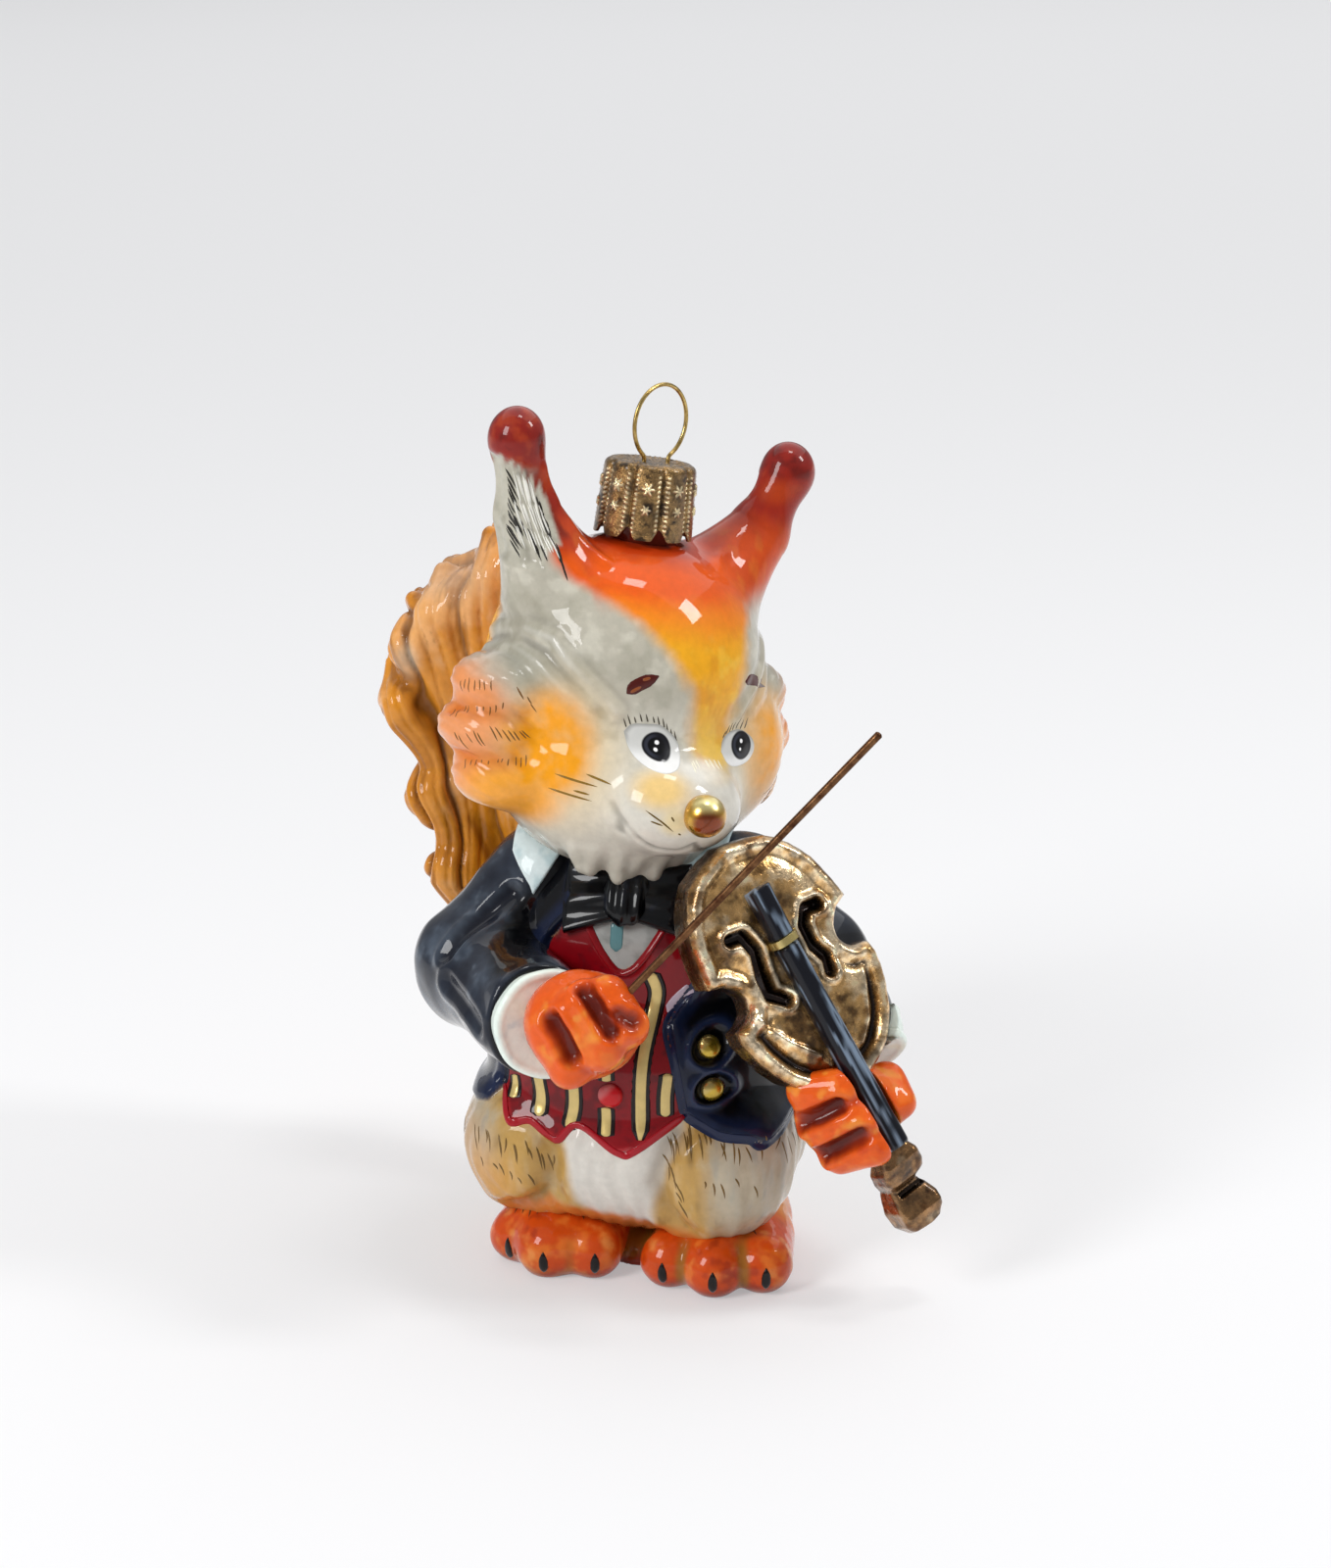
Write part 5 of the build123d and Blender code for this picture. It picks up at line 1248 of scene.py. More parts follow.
def violin_relief(p):
    """A crown that rises from the edge, a bead along the outline, and bells along the ridges and sound holes."""
    q = to_violin(p)
    gap = outline_gap(q[:, 0], q[:, 1], VIOLIN_OUTLINE)
    face = ease(q[:, 2], -0.7, -0.1)
    lift = 0.6 * ease(-gap, 1.5, 6.0) + 0.4 * bell(gap + 1.1, 0.7) - 0.22 * bell(gap + 2.5, 0.6)
    neck_bout = ease(q[:, 1], 6.5, 9.0)
    lift -= 0.55 * neck_bout * bell(gap + 2.5, 0.6)
    for path in SCROLLED_RIDGES:
        lift += 0.5 * ridge(q[:, :2], path, 0.55)
    for path in SOUND_HOLES:
        hole = line_gap(q[:, :2], path)
        lift += 0.5 * bell(hole - 1.35, 0.42) - 1.5 * (1 - ease(hole, 0.35, 1.0))
    return face * lift + 0.16 * cloud(q, 2.4, 101, 3)


def violin_paint(p, normal, lift):
    """Gold that is light where the relief is high, partly rubbed gold and partly a painted highlight, and brown to
    black where it is low, partly patina and partly painted shade.
    """
    q = to_violin(p)
    fine, broad = cloud(q, 0.9, 102, 3), cloud(q, 3.6, 103, 3)
    level = lift - 0.6 * ease(-outline_gap(q[:, 0], q[:, 1], VIOLIN_OUTLINE), 1.5, 6.0)
    return painted(
        p, "c49a60",
        ("efd5ac", ease(broad + 0.5 * fine, 0.05, 0.5) * 0.75),
        ("f8e4c2", ease(level + 0.3 * fine, 0.12, 0.5) * 0.9),
        ("5e3c14", ease(-broad - 0.7 * fine, 0.0, 0.42) * 0.8),
        ("1f0d05", ease(-level + 0.12 * fine, 0.2, 0.7)),
        ("4a2c10", ease(-q[:, 2], 0.5, 2.2) * 0.8))


def bar(name, start, end, halves, tops, foot, finish, node, code):
    """A bar along the violin: a squarish rounded profile from one end to the other, drawn in at both ends."""
    rows, columns = 90, 48
    t = np.linspace(0, 1, rows)[:, None]
    a = round_angles(columns)
    closing = np.sqrt(np.clip(np.minimum(t, 1 - t) / 0.012, 0.0004, 1))
    half = (halves[0] + (halves[1] - halves[0]) * t) * closing
    tall = (tops[0] + (tops[1] - tops[0]) * t - foot) * closing
    across = start[0] + (end[0] - start[0]) * t + half * squared_off(np.cos(a), 0.62)
    rise = foot + tall * squared_off(np.sin(a), 0.62) * np.where(np.sin(a) > 0, 1, 0.25)
    along = start[1] + (end[1] - start[1]) * t + 0 * a
    points = np.stack([across, along, rise], -1).reshape(-1, 3)
    wave = cloud(points * [1, 0.5, 1], 3.0, 104, 3)
    points = points + np.stack([0.1 * wave, 0 * wave, 0.1 * wave], -1)
    fine = cloud(points * [3, 0.14, 3], 1.2, 105, 3)
    paint = painted(points, code, ("8fa2b8", ease(fine, 0.08, 0.34) * 0.7 * (code != "d8c27a")))
    piece(name, from_violin(points), grid_quads(rows, columns)[:, ::-1], finish, (node,), paint)


def antique_gold(name, grain=620, detail=6, depth=0.0003):
    """Gold leaf rubbed over brown: bright flecks on the heights and patina in the hollows, under lacquer."""
    r = Recipe(name)
    fleck = r.noise(grain, detail, 0.7)
    base = r.mix(r.paint(), r.ramp(fleck, [(0.38, 0.4), (0.5, 0.95), (0.62, 1.5)]), 1.0, "MULTIPLY")
    r.set(Base_Color=base, Metallic=0.85, Roughness=r.ramp(fleck, [(0.35, 0.4), (0.65, 0.16)]))
    r.set(Coat_Weight=0.5, Coat_Roughness=0.1, Normal=r.bump(fleck, depth))
    return r.material


ANTIQUE_GOLD = antique_gold("antique_gold", 340, 4, 0.00022)
skin_piece(
    "violin_glass", (violin_form, violin_relief), (4, -32, 26), (40, 4, 68), violin_paint, ANTIQUE_GOLD,
    ("violin_body",), GRAIN * 0.75)
bar(
    "tailpiece_bar", (-0.55, -7.5), (-0.1, -0.45), (1.75, 1.6), (2.9, 2.9), 0.8, INK, "tailpiece",
    "0d0f18")
bar(
    "bridge_band", (-0.05, -0.5), (0.0, 0.5), (1.85, 1.85), (3.3, 3.3), 0.9, GILT, "bridge",
    "d8c27a")
bar(
    "fingerboard_bar", (0.0, 0.4), (1.1, 31.0), (1.55, 1.8), (3.1, 2.5), 0.6, INK, "fingerboard",
    "0d0f18")

SCROLL_PLAN = [
    (-1.9, 30.6), (-2.9, 32.4), (-3.2, 34.2), (-3.0, 35.4), (-1.9, 36.4), (-2.5, 37.6), (-3.2, 39.4),
    (-3.1, 41.4), (-2.2, 42.9), (-0.8, 43.4), (0.8, 43.4), (2.2, 42.9), (3.1, 41.4), (3.2, 39.4), (2.7, 37.6),
    (2.4, 36.4), (3.0, 35.0), (3.1, 33.4), (2.6, 31.8), (1.9, 30.6)]
SCROLL_SIDE = [
    (30.6, 0.6), (33.0, 0.7), (35.6, -0.8), (36.6, -2.1), (38.2, -1.8), (40.6, -1.4), (42.8, -2.4),
    (43.4, -4.6), (42.2, -6.6), (39.8, -7.2), (36.8, -6.8), (33.2, -4.8), (30.6, -3.0)]


SCROLL_SHIFT = np.array([1.2, 0, 0])


def scroll_form(p):
    """What the scroll's plan and its side view share, slotted across, with the neck that carries it."""
    q = to_violin(p) - SCROLL_SHIFT
    block = rounded_cut(
        outline_gap(q[..., 0], q[..., 1], SCROLL_PLAN), outline_gap(q[..., 1], q[..., 2], SCROLL_SIDE), 0.9)
    slot = np.maximum(
        np.maximum(np.abs(q[..., 0] + 0.2) - 2.1, np.abs(q[..., 1] - 37.3) - 0.45), -q[..., 2] - 3.3)
    block = np.maximum(block, -slot)
    return soft_union([block, limb(q, (-0.5, 20, -1.2), 1.5, (0, 33, -1.4), 1.7)], 0.3)


def scroll_paint(p, normal, lift):
    """Brown with lighter patches, and painted shade deep in the slot."""
    q = to_violin(p) - SCROLL_SHIFT
    fine = cloud(q, 1.0, 106, 3)
    paint = painted(
        p, "8a6640",
        ("5a3a1c", ease(fine, 0.0, 0.5)),
        ("c6ad8c", ease(cloud(q, 2.0, 107, 3), 0.2, 0.6) * 0.7))
    slot = np.maximum(np.abs(q[:, 0] + 0.2) - 2.3, np.abs(q[:, 1] - 37.3) - 0.6)
    return brush(paint, "1c0f08", (1 - ease(slot, 0.0, 0.3)) * ease(-q[:, 2], 1.9, 2.4) * 0.9)


skin_piece(
    "scroll_glass", (scroll_form, lambda p: 0.14 * cloud(p, 2.6, 108, 3)), (28, -24, 8), (50, -2, 36),
    scroll_paint, ANTIQUE_GOLD, ("violin_scroll",), GRAIN * 0.7)


# Things laid on the front of the trunk
def front_of(form, x, z):
    """Walks from 26 mm in front of the figure straight back until the form is met."""
    p = np.stack(np.broadcast_arrays(np.asarray(x, float), -26.0, np.asarray(z, float)), -1).astype(float)
    for _ in range(60):
        p[..., 1] += np.clip(form(p), -1, 3) * 0.7
    return p


def seat(form, x, z):
    """A place on the front and its axes as columns: across, up and out."""
    place = front_of(form, [x], [z])
    out = slope_of(form, place)[0]
    across = unit(np.cross((0, 0, 1), out))
    return place[0], np.stack([across, np.cross(out, across), out], 1)


SHOULDERS = [((-12, -1.1, 51.0), 7.8), ((13.6, 1.1, 51.0), 7.3)]


def collar_form_of(side):
    """A shell 0.9 mm thick round chest and shoulders, cut to the outline of one wing."""
    reach = 1.0 if side == 1 else 0.82
    outline = [
        (side * x * reach, z) for x, z in ((-16, 61.5), (-15.4, 56.3), (-12.4, 52.4), (-11.9, 51.2),
         (-10.3, 53.8), (-8.7, 56.6), (-6, 61.5))]

    def form(p):
        lobes = [oval(p, centre, np.array(radii) + 0.55) for centre, radii in TRUNK_LOBES[:2]]
        lobes += [
            limb(p, centre, r + 0.55, np.array(centre) + [0, 0, 0.1], r + 0.55) for centre, r in SHOULDERS]
        chest = soft_union(lobes, 1.0)
        return rounded_cut(outline_gap(p[..., 0], p[..., 2], outline), np.abs(chest) - 0.45, 0.35)
    return form


def collar_paint(p, normal, lift):
    """Pale blue with darker mottling."""
    fine = cloud(p, 1.4, 111, 3)
    return painted(p, "dbe9ea", ("b9d0d4", ease(fine, -0.1, 0.5) * 0.8))


for side, name in ((1, "right"), (-1, "left")):
    low, high = sorted((side * -19, side * -4))
    skin_piece(
        name + "_collar_glass", (collar_form_of(side), None), (low, -14, 49), (high, 0, 63), collar_paint,
        PAINT, (name + "_collar_wing",), GRAIN * 0.7)

tie_place, tie_axes = seat(trunk_form, 1.0, 52.3)


def tie_paint(points):
    """Black with dark blue mottling."""
    fine = cloud(points, 1.2, 112, 3)
    return painted(points, "040508", ("151b28", ease(fine, 0.1, 0.6) * 0.6))


def tie_wing(side):
    """Half of the tie: a flat rounded profile that grows towards its end and carries pleats on its front."""
    rows, columns = 80, 96
    t = np.linspace(0, 1, rows)[:, None]
    a = round_angles(columns)
    end, start = ease(1 - t, -0.005, 0.06), ease(t, -0.01, 0.03)
    end = np.sqrt(np.clip(end, 0.0004, 1)) * np.sqrt(np.clip(start, 0.0004, 1))
    tall = (2.9 + 2.3 * t ** 0.8) * end
    v = np.cos(a)
    pleat = 0.34 * np.cos(2 * np.pi * v + 0.9) * ease(t, 0.0, 0.3)
    out = (1.25 + pleat * (np.sin(a) > 0)) * squared_off(np.sin(a), 0.6) * end
    across = side * (0.3 + 8.2 * t - 0.8 * (1 - np.abs(v)) * t ** 3)
    local = np.stack([across + 0 * v, tall * v, out - 0.2 * t ** 2 * 6 + 0.2], -1).reshape(-1, 3)
    return local, grid_quads(rows, columns)[:, ::-side]


parts = [tie_wing(-1), tie_wing(1)]
points, quads, ball = globe(np.array([0, 0, 0.7]), (2.9, 4.3, 2.0), rows=48, columns=72)
across = ball[:, 0]
points = points + np.stack(
    [0.25 * squared_off(across, 0.5), 0.14 * np.sin(9 * across), 0.18 * np.cos(10 * across)], -1)
parts.append((points, quads))
sizes = np.cumsum([0] + [len(p) for p, q in parts])
points = np.concatenate([p for p, q in parts]) @ tie_axes.T + tie_place
piece(
    "bow_tie_glass", points, np.concatenate([q + s for (p, q), s in zip(parts, sizes)]), finish=INK,
    nodes=("bow_tie",), paint=tie_paint(points))


def button(name, x, z, radius, finish, node, code, lift):
    """A flattened ball seated on the front, with a painted highlight that makes one side a little lighter."""
    place, axes = seat(trunk_form, x, z)
    points, quads, ball = globe(place + axes[:, 2] * lift, (radius, radius, 1.0), axes, rows=32, columns=48)
    tone = painted(points, code, ("ffffff", 0.12 * ease(ball[:, 1] - ball[:, 0], 0.2, 0.9)))
    piece(name, points, quads, finish=finish, nodes=(node,), paint=tone)


for place, (x, z) in zip(("upper", "lower"), COAT_BUTTONS):
    button("gilt_button_" + place, x, z, 1.6, GILT, "coat_button_" + place, "cfae35", 0.5)
for place, (x, z) in zip(("upper", "lower"), WAISTCOAT_BUTTONS):
    button("red_button_" + place, x, z, 1.65, INK, "waistcoat_button_" + place, "c40d18", 0.6)

# Cap: a thin stamped shell with nine pleats, beaded lines, stars and pointed tabs
CAP_BOTTOM, CAP_TOP, PLEATS = 21.46, 31.16, 9


def cap_point(share, angle, margin):
    """Height, radius and relief of the cap at a share of its profile: skirt (0), shoulder (0.8) and middle (1)."""
    phase = (angle * PLEATS / (2 * np.pi) + 0.5) % 1 - 0.5
    skirt = np.clip(share / 0.8, 0, 1)
    edge = CAP_BOTTOM + 1.5 * ease(np.abs(phase), 0.2, 0.5)
    z = edge + (CAP_TOP - 1.0 - edge) * skirt
    r = 6.3 - 0.45 * (z - CAP_BOTTOM) / 9 + 0.16 - 0.55 * np.abs(2 * phase) ** 4
    u = phase * 4.3
    bead = bell(np.abs(u) - 1.55, 0.24) * (0.5 + 0.5 * np.cos(2 * np.pi * z / 0.62)) * 0.2
    for height, size in ((28.1, 0.95), (25.4, 0.75)):
        w = z - height
        bloom = np.hypot(u, w) - size * (0.72 + 0.28 * np.cos(6 * np.arctan2(w, u)))
        bead = np.maximum(bead, 0.26 * (1 - ease(bloom, -0.35, 0.12)))
    bead = bead * ease(1 - skirt, 0.0, 0.05) * ease(skirt, 0.0, 0.06) * (margin == 0)
    over = np.clip((share - 0.8) / 0.08, 0, 1) * np.pi / 2
    z = z + 1.0 * np.sin(over)
    r = r + bead - 1.0 * (1 - np.cos(over)) - margin
    top = np.clip((share - 0.88) / 0.12, 0, 1)
    rim = 0.16 * bell(top - 0.16, 0.07) * (0.5 + 0.5 * np.cos(angle * 40)) + 0.1 * bell(top - 0.45, 0.1)
    z = z - 0.25 * ease(top, 0.2, 0.4) + rim * (margin == 0) - margin * ease(share, 0.8, 0.88)
    return z, np.maximum(r * (1 - top), 0.002), bead


columns = 576
angle = round_angles(columns)[None, :]
sheets = []
for share, margin in ((np.linspace(0, 1, 130)[:, None], 0), (np.linspace(1, 0, 40)[:, None], 0.35)):
    z, r, bead = cap_point(share, angle, margin)
    sheets.append(
        (np.stack([r * np.cos(angle), r * np.sin(angle) + NECK_Y, z], -1), bead * 4 if margin == 0 else bead))
points = np.concatenate([s[0] for s in sheets]).reshape(-1, 3)
height = np.concatenate([s[1] for s in sheets]).reshape(-1)
fine = cloud(points, 0.9, 121, 3)
# Pale on the raised beads, partly rubbed brass and partly a painted highlight; dark between them, partly patina and
# partly painted shade.
cap_paint_and_highlights = painted(
    points, "8a6c42",
    ("f0dcae", ease(height + 0.3 * fine, 0.1, 0.6)),
    ("24160b", ease(-fine - height, 0.1, 0.5) * 0.85))
STAMPED_BRASS = antique_gold("stamped_brass")
piece(
    "ornament_cap", from_head(points), grid_quads(170, columns, wrap_rows=True), STAMPED_BRASS, ("cap",),
    cap_paint_and_highlights, "cap")

# Hanger: one sprung wire, a ring whose ends bend down into the neck
RING_RADIUS = 4.95
bend = np.radians(np.linspace(180, 123.7, 8))
loop = np.radians(np.linspace(-56.3, 236.3, 160))
half = [(2.5, -6.9), (2.35, -4.5), (2.3, -2.0)] + list(zip(3.3 + np.cos(bend), np.sin(bend)))
ring = list(zip(RING_RADIUS * np.cos(loop), RING_RADIUS * (1 + np.sin(loop))))[1:-1]
wire = np.array(half + ring + [(-x, z) for x, z in half[::-1]])
turn = np.radians(18.5)
wire = np.stack(
    [(wire[:, 0] + 0.9) * np.cos(turn), (wire[:, 0] + 0.9) * np.sin(turn) + NECK_Y, wire[:, 1] + CAP_TOP], -1)
points, quads = tube(from_head(wire), 0.28, 14, up=from_head((np.sin(turn), -np.cos(turn), 0)) - HEAD_CENTRE)
SPRUNG_WIRE = metal("sprung_wire", "8a6a2e", "d8bd7a", roughness=0.22, grain=800)
piece("hanger_wire", points, quads, SPRUNG_WIRE, ("hanger",), body="hanger")

# Brush strokes and small marks
STROKE = lacquer("stroke_paint", mottle=0.1, roughness=0.4)
GOLD_STROKE = lacquer("gold_stroke", metallic=0.35, mottle=0.15, roughness=0.35)


def face_strokes(name, paths, width, code, lift=0.05, taper=(0.25, 0.35)):
    """Strokes on the skin of the head, with their paths given in the head's frame."""
    strokes(name, HEAD_SKIN, [from_head(path) for path in paths], width, STROKE, lift, code=code, taper=taper)


def fan(path, count, reach_low, reach_high, seed, shake=0.15):
    """Short strokes side by side: their feet run along a path and their reach turns from one way to the other."""
    rng = np.random.default_rng(seed)
    feet = curve_through(path, count)
    t = np.linspace(0, 1, count)[:, None]
    reach = np.asarray(reach_low) * (1 - t) + np.asarray(reach_high) * t
    feet = feet + rng.normal(0, shake, feet.shape)
    return [[foot, foot + way * (0.75 + 0.5 * rng.random())] for foot, way in zip(feet, reach)]


face_strokes(
    "brow_right", [[(-8.3, -14.1, 3.5), (-7.1, -14.5, 4.7), (-4.6, -15.2, 6.1)]], 1.75, "4d130c", 0.1,
    (0.35, 0.3))
face_strokes(
    "brow_left", [[(9.4, -13.5, 5.2), (11.6, -12.3, 5.2), (14.9, -8.9, 3.6)]], 1.5, "4d130c", 0.1, (0.3, 0.4))
face_strokes(
    "brow_sheen", [[(-7.9, -14.1, 3.7), (-6.6, -14.6, 4.6)], [(-6.6, -14.6, 5.4), (-5.6, -15.0, 5.8)]], 0.5,
    "8d4a22", 0.16)
lid_right = [
    (-7.7, -14.0, -0.9), (-6.3, -14.6, -0.1), (-4.4, -15.2, 0.0), (-2.6, -15.6, -0.9), (-1.3, -15.8, -2.2)]
lid_left = [(6.4, -15.0, -1.9), (8.2, -13.9, -1.1), (10.6, -13.0, -1.1)]
face_strokes(
    "lashes_right", fan(lid_right, 11, (-0.5, 0.1, 1.1), (-0.35, 0.1, 1.2), 1, 0.05), 0.2, "4a4335", 0.05,
    (0.1, 0.6))
face_strokes(
    "lashes_left", fan(lid_left, 7, (0.7, 0.2, 0.9), (1.0, 0.3, 1.2), 2, 0.05), 0.17, "5b5548", 0.05, (0.1, 0.6))
face_strokes(
    "bridge_hairs", fan([(-0.2, -17.7, -4.2), (4.6, -16.6, -4.4)], 8, (-0.1, -0.9, -1.6), (0.2, -1.2, -1.4), 3),
    0.22, "fbf5df", 0.05)
face_strokes(
    "whisker_marks", [[(-6.9, -19.8, -10.2), (-5.0, -21.0, -11.4), (-3.5, -21.6, -12.6)],
     [(-6.3, -20.3, -11.5), (-4.9, -21.2, -11.9)], [(-4.1, -21.6, -10.6), (-3.7, -21.8, -11.2)],
     [(-2.9, -21.9, -12.9), (-2.5, -22.0, -13.1)]], 0.24, "6b5320")
face_strokes(
    "cheek_whiskers", [[(-14.7, -9.5, -8.0), (-12.6, -11.7, -8.4), (-10.7, -13.7, -8.7)],
     [(-15.1, -8.9, -10.0), (-11.0, -13.2, -10.7)], [(-11.9, -12.5, -7.3), (-9.4, -14.9, -8.1)],
     [(-12.9, -11.5, -9.7), (-11.3, -13.0, -9.9)]], 0.3, "8a6a24")
CHEEK_ROWS = [
    ((-24.4, 0.2, 2.0), (-22.2, -3.8, 2.9), 7, (0.1, -0.3, -1.2)),
    ((-25.0, 0.8, -1.8), (-20.6, -5.0, 0.2), 9, (-0.2, -0.4, -1.2)),
    ((-25.0, -1.4, -4.6), (-18.0, -6.4, -3.0), 12, (0.9, -0.6, -0.9)),
    ((-23.6, -0.6, -8.3), (-17.6, -7.0, -6.4), 12, (-0.1, -0.2, -1.0)),
    ((-19.6, -5.4, 2.6), (-17.4, -6.6, 0.4), 4, (0.7, -0.4, -1.2))]
for side, name in ((1, "right"), (-1, "left")):
    paths = []
    for row, (low, high, count, reach) in enumerate(CHEEK_ROWS):
        paths += fan([low, high], count, reach, reach, 10 + row)
    if side == -1:
        paths = [
            [(-19.6, -6.4, -8.6), (-17.6, -8.2, -9.2), (-15.3, -10.1, -10.0)],
            [(-22.3, -4.2, -10.4), (-19.1, -6.8, -10.8), (-17.1, -7.8, -11.4)],
            [(-20.3, -5.7, -11.9), (-18.8, -6.0, -12.7)], [(-21.6, -4.2, -7.2), (-20.2, -5.4, -7.8)]]
    mirrored = [[np.array(point) * [side, 1, 1] for point in path] for path in paths]
    face_strokes("cheek_hairs_" + name, mirrored, 0.19, "7b5426", 0.04)
    dark = fan([(-21.9, 0.6, 28.6), (-21.4, 0.6, 19.6)], 13, (2.0, -1.3, -2.4), (2.4, -1.6, -1.8), 20)
    light = fan([(-21.0, -0.3, 28.8), (-18.2, -1.3, 28.0)], 10, (1.4, -0.8, -3.4), (1.0, -1.0, -3.4), 22)
    if side == 1:
        dark += fan([(-17.4, -1.4, 26.5), (-14.4, -3.6, 18.5)], 13, (0.7, -0.5, -2.2), (0.8, -0.6, -2.2), 21)
        dark += fan([(-20.4, 0.0, 24.0), (-16.8, -2.2, 20.0)], 8, (1.0, -0.8, -2.4), (1.0, -0.8, -2.2), 24)
        light += fan([(-20.6, -0.3, 25.4), (-16.6, -2.2, 25.0)], 11, (1.3, -1.1, -3.2), (1.3, -1.2, -3.2), 23)
        light += fan([(-20.0, -0.6, 22.0), (-15.6, -2.8, 21.6)], 10, (1.0, -0.8, -2.6), (1.1, -0.9, -2.6), 25)
    shift = np.array([0.0, 0.0, 0.0]) if side == 1 else np.array([-1.0, 8.0, 0.0])
    for kind, tufts, code, width in (("dark", dark, "2b2823", 0.26), ("light", light, "efede4", 0.2)):
        mirrored = [[(np.array(point) + shift) * [side, 1, 1] for point in path] for path in tufts]
        face_strokes("ear_hair_" + kind + "_" + name, mirrored, width, code, 0.1 if kind == "light" else 0.06)


def on_front(path):
    """Points of the trunk's front from places written as (x, z)."""
    path = np.asarray(path, float)
    return front_of(trunk_form, path[:, 0], path[:, 1])


def hem_band(name, path, width, code, lift=0.3):
    """A painted band that covers the border between two regions of the clothes."""
    strokes(name, TRUNK_SKIN, [on_front(path)], width, STROKE, lift, rows=60, code=code, taper=(0.03, 0.03))


# The neckline and waistcoat hem bands are lighter reds than the waistcoat: painted highlight along their rims.
hem_band("neckline_band", NECKLINE, 0.9, "8c0613")
hem_band("waistcoat_hem_band", [OPENING_LEFT[-1]] + HEM, 1.0, "a50f1e")
hem_band("coat_edge_right", OPENING_LEFT[1:], 0.9, "0c1326", 0.1)
hem_band("coat_edge_left", [HEM[-1]] + OPENING_RIGHT[:-1], 1.1, "152042", 0.1)
hem_band("coat_hem_band", [HEM[-1]] + COAT_HEM[-5:-1], 1.1, "152042", 0.1)

STRIPES = [
    ([(-13.5, 27.5), (-13.6, 24.4)], 1.3), ([(-10.2, 35.0), (-9.7, 28.0), (-9.7, 22.9)], 1.7),
    ([(-5.6, 38.0), (-4.7, 28.5), (-5.4, 21.8)], 1.6), ([(-0.3, 30.6), (-0.2, 29.3)], 1.3),
    ([(-0.4, 25.6), (-0.3, 21.6)], 1.4), ([(4.6, 43.0), (5.2, 39.5), (4.3, 31.5), (4.2, 21.4)], 1.5),
    ([(7.5, 30.4), (7.2, 27.4), (7.2, 24.4)], 1.4)]
stripe_paths = [on_front(path) for path, width in STRIPES]
stripe_widths = [width for path, width in STRIPES]
strokes(
    "stripe_outlines", TRUNK_SKIN, stripe_paths, [w + 1.0 for w in stripe_widths], STROKE, 0.06, rows=24,
    code="160a0a", taper=(0.04, 0.06))
strokes(
    "gilt_stripes", TRUNK_SKIN, stripe_paths, stripe_widths, GOLD_STROKE, 0.16, rows=24, code="dcc37e",
    taper=(0.05, 0.08))
strokes(
    "shirt_mark", TRUNK_SKIN, [on_front([(0.1, 49.4), (0.1, 45.6)])], 1.7, STROKE, 0.05, code="5f8b90",
    taper=(0.05, 0.2))
strokes(
    "lapel_sheen", TRUNK_SKIN, [on_front([(6.7, 37.2), (8.0, 39.4), (9.6, 41.0)])], 1.6, STROKE, 0.08,
    code="bfaebd", taper=(0.15, 0.15))

hair_rows = [
    ((-18.8, 20.6), (-7.8, 18.6), 15, (0.5, -2.6)), ((-17.4, 16.4), (-11.2, 14.8), 6, (0.7, -1.8)),
    ((7.2, 22.2), (10.6, 23.4), 8, (0.8, -3.2)), ((10.4, 22.6), (20.6, 20.6), 13, (0.4, -2.2)),
    ((7.2, 19.4), (10.2, 13.4), 9, (0.9, -2.4)), ((12.6, 17.2), (19.0, 16.2), 5, (0.4, -1.8))]
rng = np.random.default_rng(40)
hair = []
for low, high, count, reach in hair_rows:
    for t in np.linspace(0, 1, count):
        foot = np.array(low) * (1 - t) + np.array(high) * t + rng.normal(0, 0.35, 2)
        way = np.array(reach) * (0.55 + 0.6 * rng.random()) + rng.normal(0, 0.25, 2)
        hair.append(on_front([foot, foot + 0.5 * way + [0.12, 0], foot + way]))
strokes("thigh_hairs", TRUNK_SKIN, hair, 0.26, STROKE, 0.04, code="6f5428", taper=(0.2, 0.6))
side_hair = []
for x, y, count in ((-23.0, -3.0, 9), (23.0, -3.0, 9), (-17.5, 13.5, 9), (17.5, 13.5, 9), (0.0, 19.0, 9)):
    across = unit((-y, x, 0))
    for t in np.linspace(-1, 1, count):
        foot = np.array([x, y, 20.0]) + across * t * 8 + rng.normal(0, 0.5, 3)
        side_hair.append([foot, foot + [0.1, 0.1, -1.6], foot + [0.3, 0.2, -2.6 - rng.random()]])
strokes("flank_hairs", TRUNK_SKIN, side_hair, 0.38, STROKE, 0.04, code="7a6138", taper=(0.2, 0.6))

claws = []
for centre, toes in FEET:
    for a, ra, b, rb in toes:
        tip = centre + np.array(b) * FOOT
        out = unit([0.12 + (b[0] * 0.25), -1, 0])
        claws.append(
            [tip + out * rb * TOE + [0, 0, 1.0], tip + out * (rb * TOE + 0.1) + [0, 0, -0.6],
             tip + out * rb * 3.7 + [0, 0, -2.3]])
strokes("claws", FEET_SKIN, claws, 1.25, INK, 0.22, rows=16, code="0c0707", taper=(0.5, 0.3))
foot_hairs = []
for x, count in ((-9.5, 9), (12.0, 9)):
    for t in np.linspace(-1, 1, count):
        foot = np.array([x + t * 6.5, -13.5 + 1.2 * t * t, 10.2]) + rng.normal(0, 0.25, 3)
        foot_hairs.append([foot, foot + [0.2, -1.0, -1.6]])
strokes("foot_hairs", FEET_SKIN, foot_hairs, 0.32, STROKE, 0.04, code="6b3a16", taper=(0.2, 0.6))

# Room, lights and camera
def area_light(name, place, target, size, power):
    """A rectangular light at one place, turned towards another."""
    data = bpy.data.lights.new(name, "AREA")
    data.shape, data.size, data.size_y, data.energy = "RECTANGLE", size[0], size[1], power
    lamp = bpy.data.objects.new(name, data)
    lamp.location = place
    lamp.rotation_euler = (Vector(target) - Vector(place)).to_track_quat("-Z", "Y").to_euler()
    bpy.context.scene.collection.objects.link(lamp)


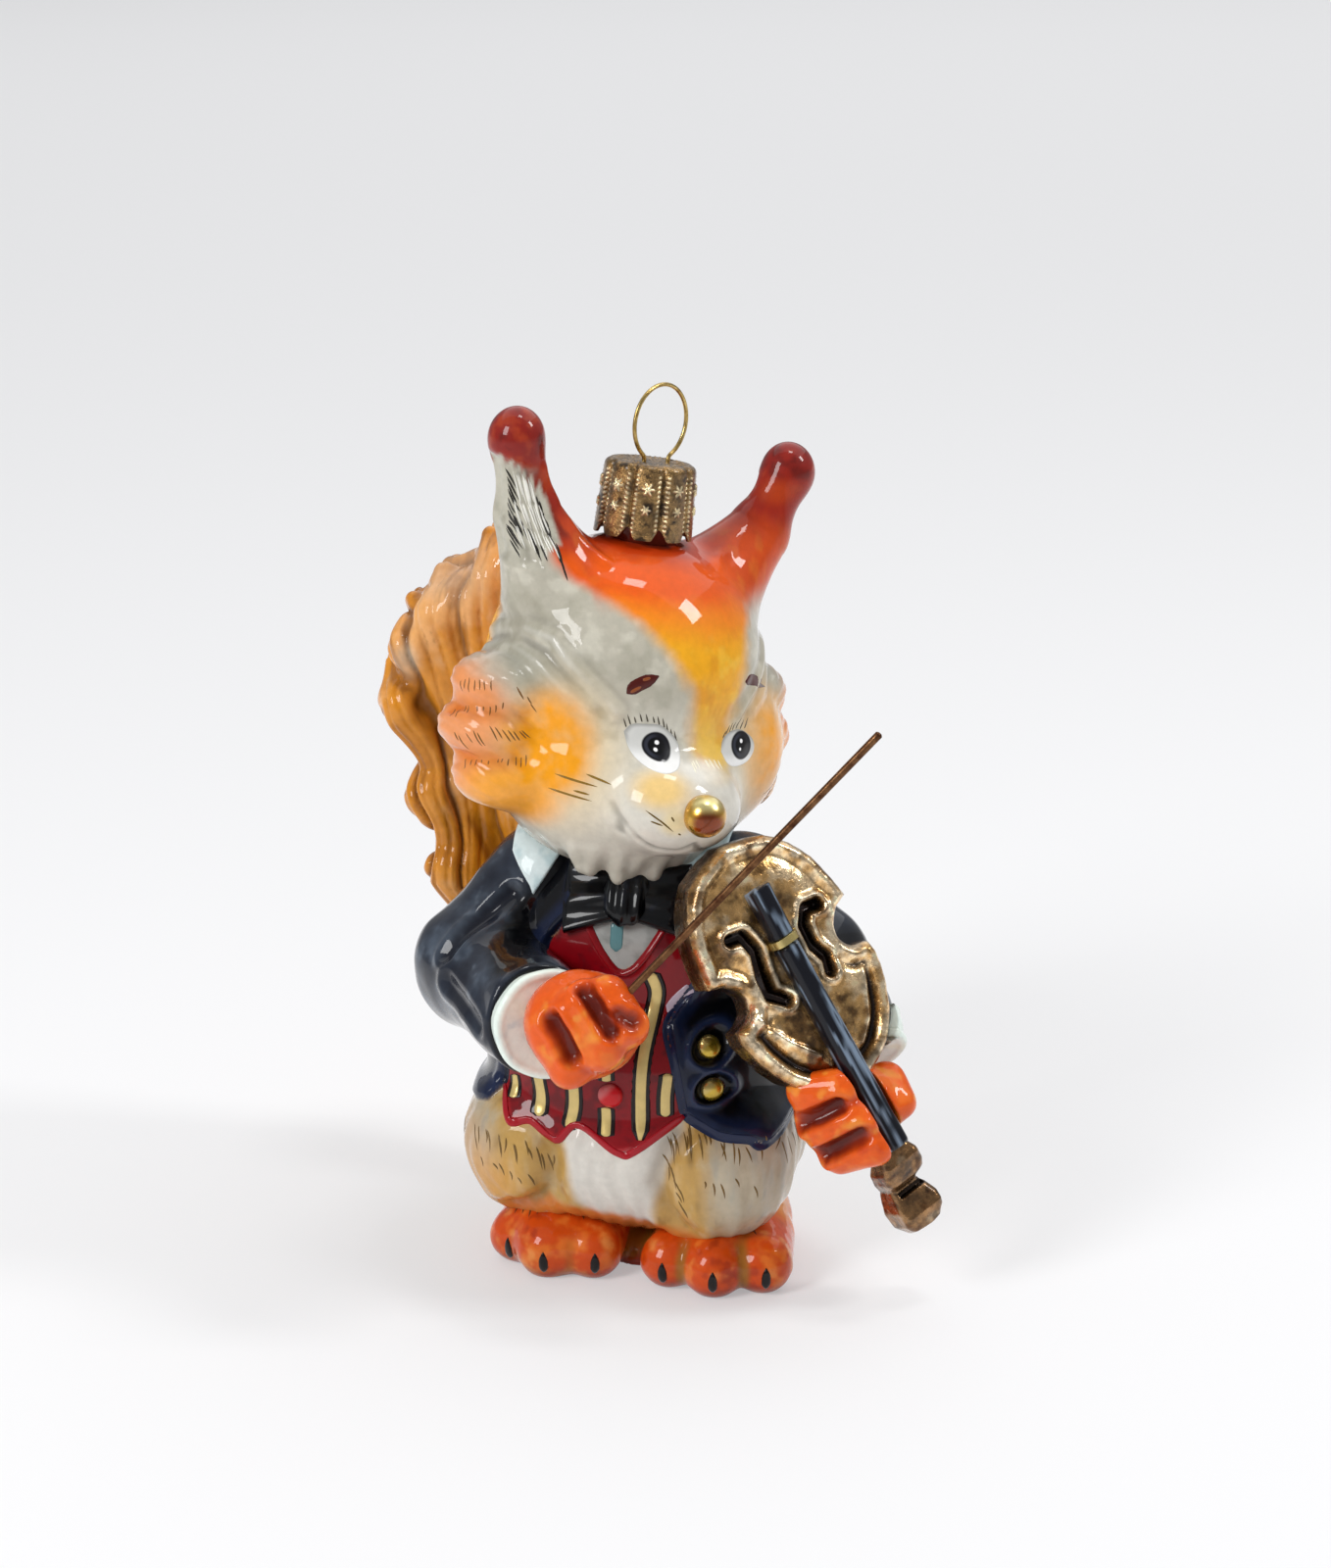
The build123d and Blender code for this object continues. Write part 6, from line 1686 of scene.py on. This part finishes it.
FLOOR_GLOW = 0.42  # share of its own light in the floor, for the camera and in reflections only
FLOOR_REACH = 6
floor_mesh = bpy.data.meshes.new("studio_floor")
floor_mesh.from_pydata(
    [(x * FLOOR_REACH, y * FLOOR_REACH, 0) for x, y in ((-1, -1), (1, -1), (1, 1), (-1, 1))], [], [(0, 1, 2, 3)])
floor = bpy.data.objects.new("studio_floor", floor_mesh)
bpy.context.scene.collection.objects.link(floor)
floor_recipe = Recipe("pale_floor")
floor_recipe.set(Base_Color=(0.9, 0.9, 0.905, 1), Roughness=0.9, Specular_IOR_Level=0.1)
light_path = floor_recipe.node("ShaderNodeLightPath")
seen = light_path.outputs["Is Camera Ray"]
for ray in ("Is Glossy Ray", "Is Transmission Ray"):
    either = floor_recipe.node("ShaderNodeMath", operation="MAXIMUM")
    floor_recipe.link(seen, either, 0)
    floor_recipe.link(light_path.outputs[ray], either, 1)
    seen = either.outputs[0]
share = floor_recipe.node("ShaderNodeMath", operation="MULTIPLY")
floor_recipe.link(seen, share, 0)
floor_recipe.link(FLOOR_GLOW, share, 1)
glow = floor_recipe.node("ShaderNodeEmission")
glow.inputs["Color"].default_value = (0.86, 0.865, 0.88, 1)
blend = floor_recipe.node("ShaderNodeMixShader")
floor_recipe.link(share.outputs[0], blend, 0)
floor_recipe.link(floor_recipe.shader.outputs[0], blend, 1)
floor_recipe.link(glow.outputs[0], blend, 2)
floor_recipe.link(blend.outputs[0], floor_recipe.output, 0)
floor_mesh.materials.append(floor_recipe.material)

world = bpy.data.worlds.new("studio")
bpy.context.scene.world = world
world.use_nodes = True
sky = world.node_tree.nodes["Background"].inputs
sky["Color"].default_value, sky["Strength"].default_value = (0.97, 0.975, 1.0, 1), 0.3

CHEST = (0, 0, 0.06)
area_light("side_window", (0.56, 0.06, 0.56), CHEST, (0.12, 0.19), 1.7)
area_light("top_window", (0.14, 0.0, 0.82), CHEST, (0.10, 0.16), 0.8)
area_light("front_window", (-0.42, -0.58, 0.50), CHEST, (0.26, 0.36), 3.9)
area_light("ceiling", (0.0, 2.2, 1.7), (0, 2.2, 0), (3.4, 4.6), 41.0)

camera_data = bpy.data.cameras.new("photo_camera")
camera = bpy.data.objects.new("photo_camera", camera_data)
azimuth, elevation, distance = np.radians(12), np.radians(16), 0.450
aim = Vector((0.0037, 0.0, 0.0645))
away = Vector((np.sin(azimuth) * np.cos(elevation), -np.cos(azimuth) * np.cos(elevation), np.sin(elevation)))
camera.location = aim + distance * away
camera.rotation_euler = (-away).to_track_quat("-Z", "Y").to_euler()
camera_data.sensor_fit = "AUTO"
camera_data.sensor_width = 36.0
camera_data.lens = 78.5
bpy.context.scene.collection.objects.link(camera)
bpy.context.scene.camera = camera
bpy.context.scene.view_settings.view_transform = "Standard"
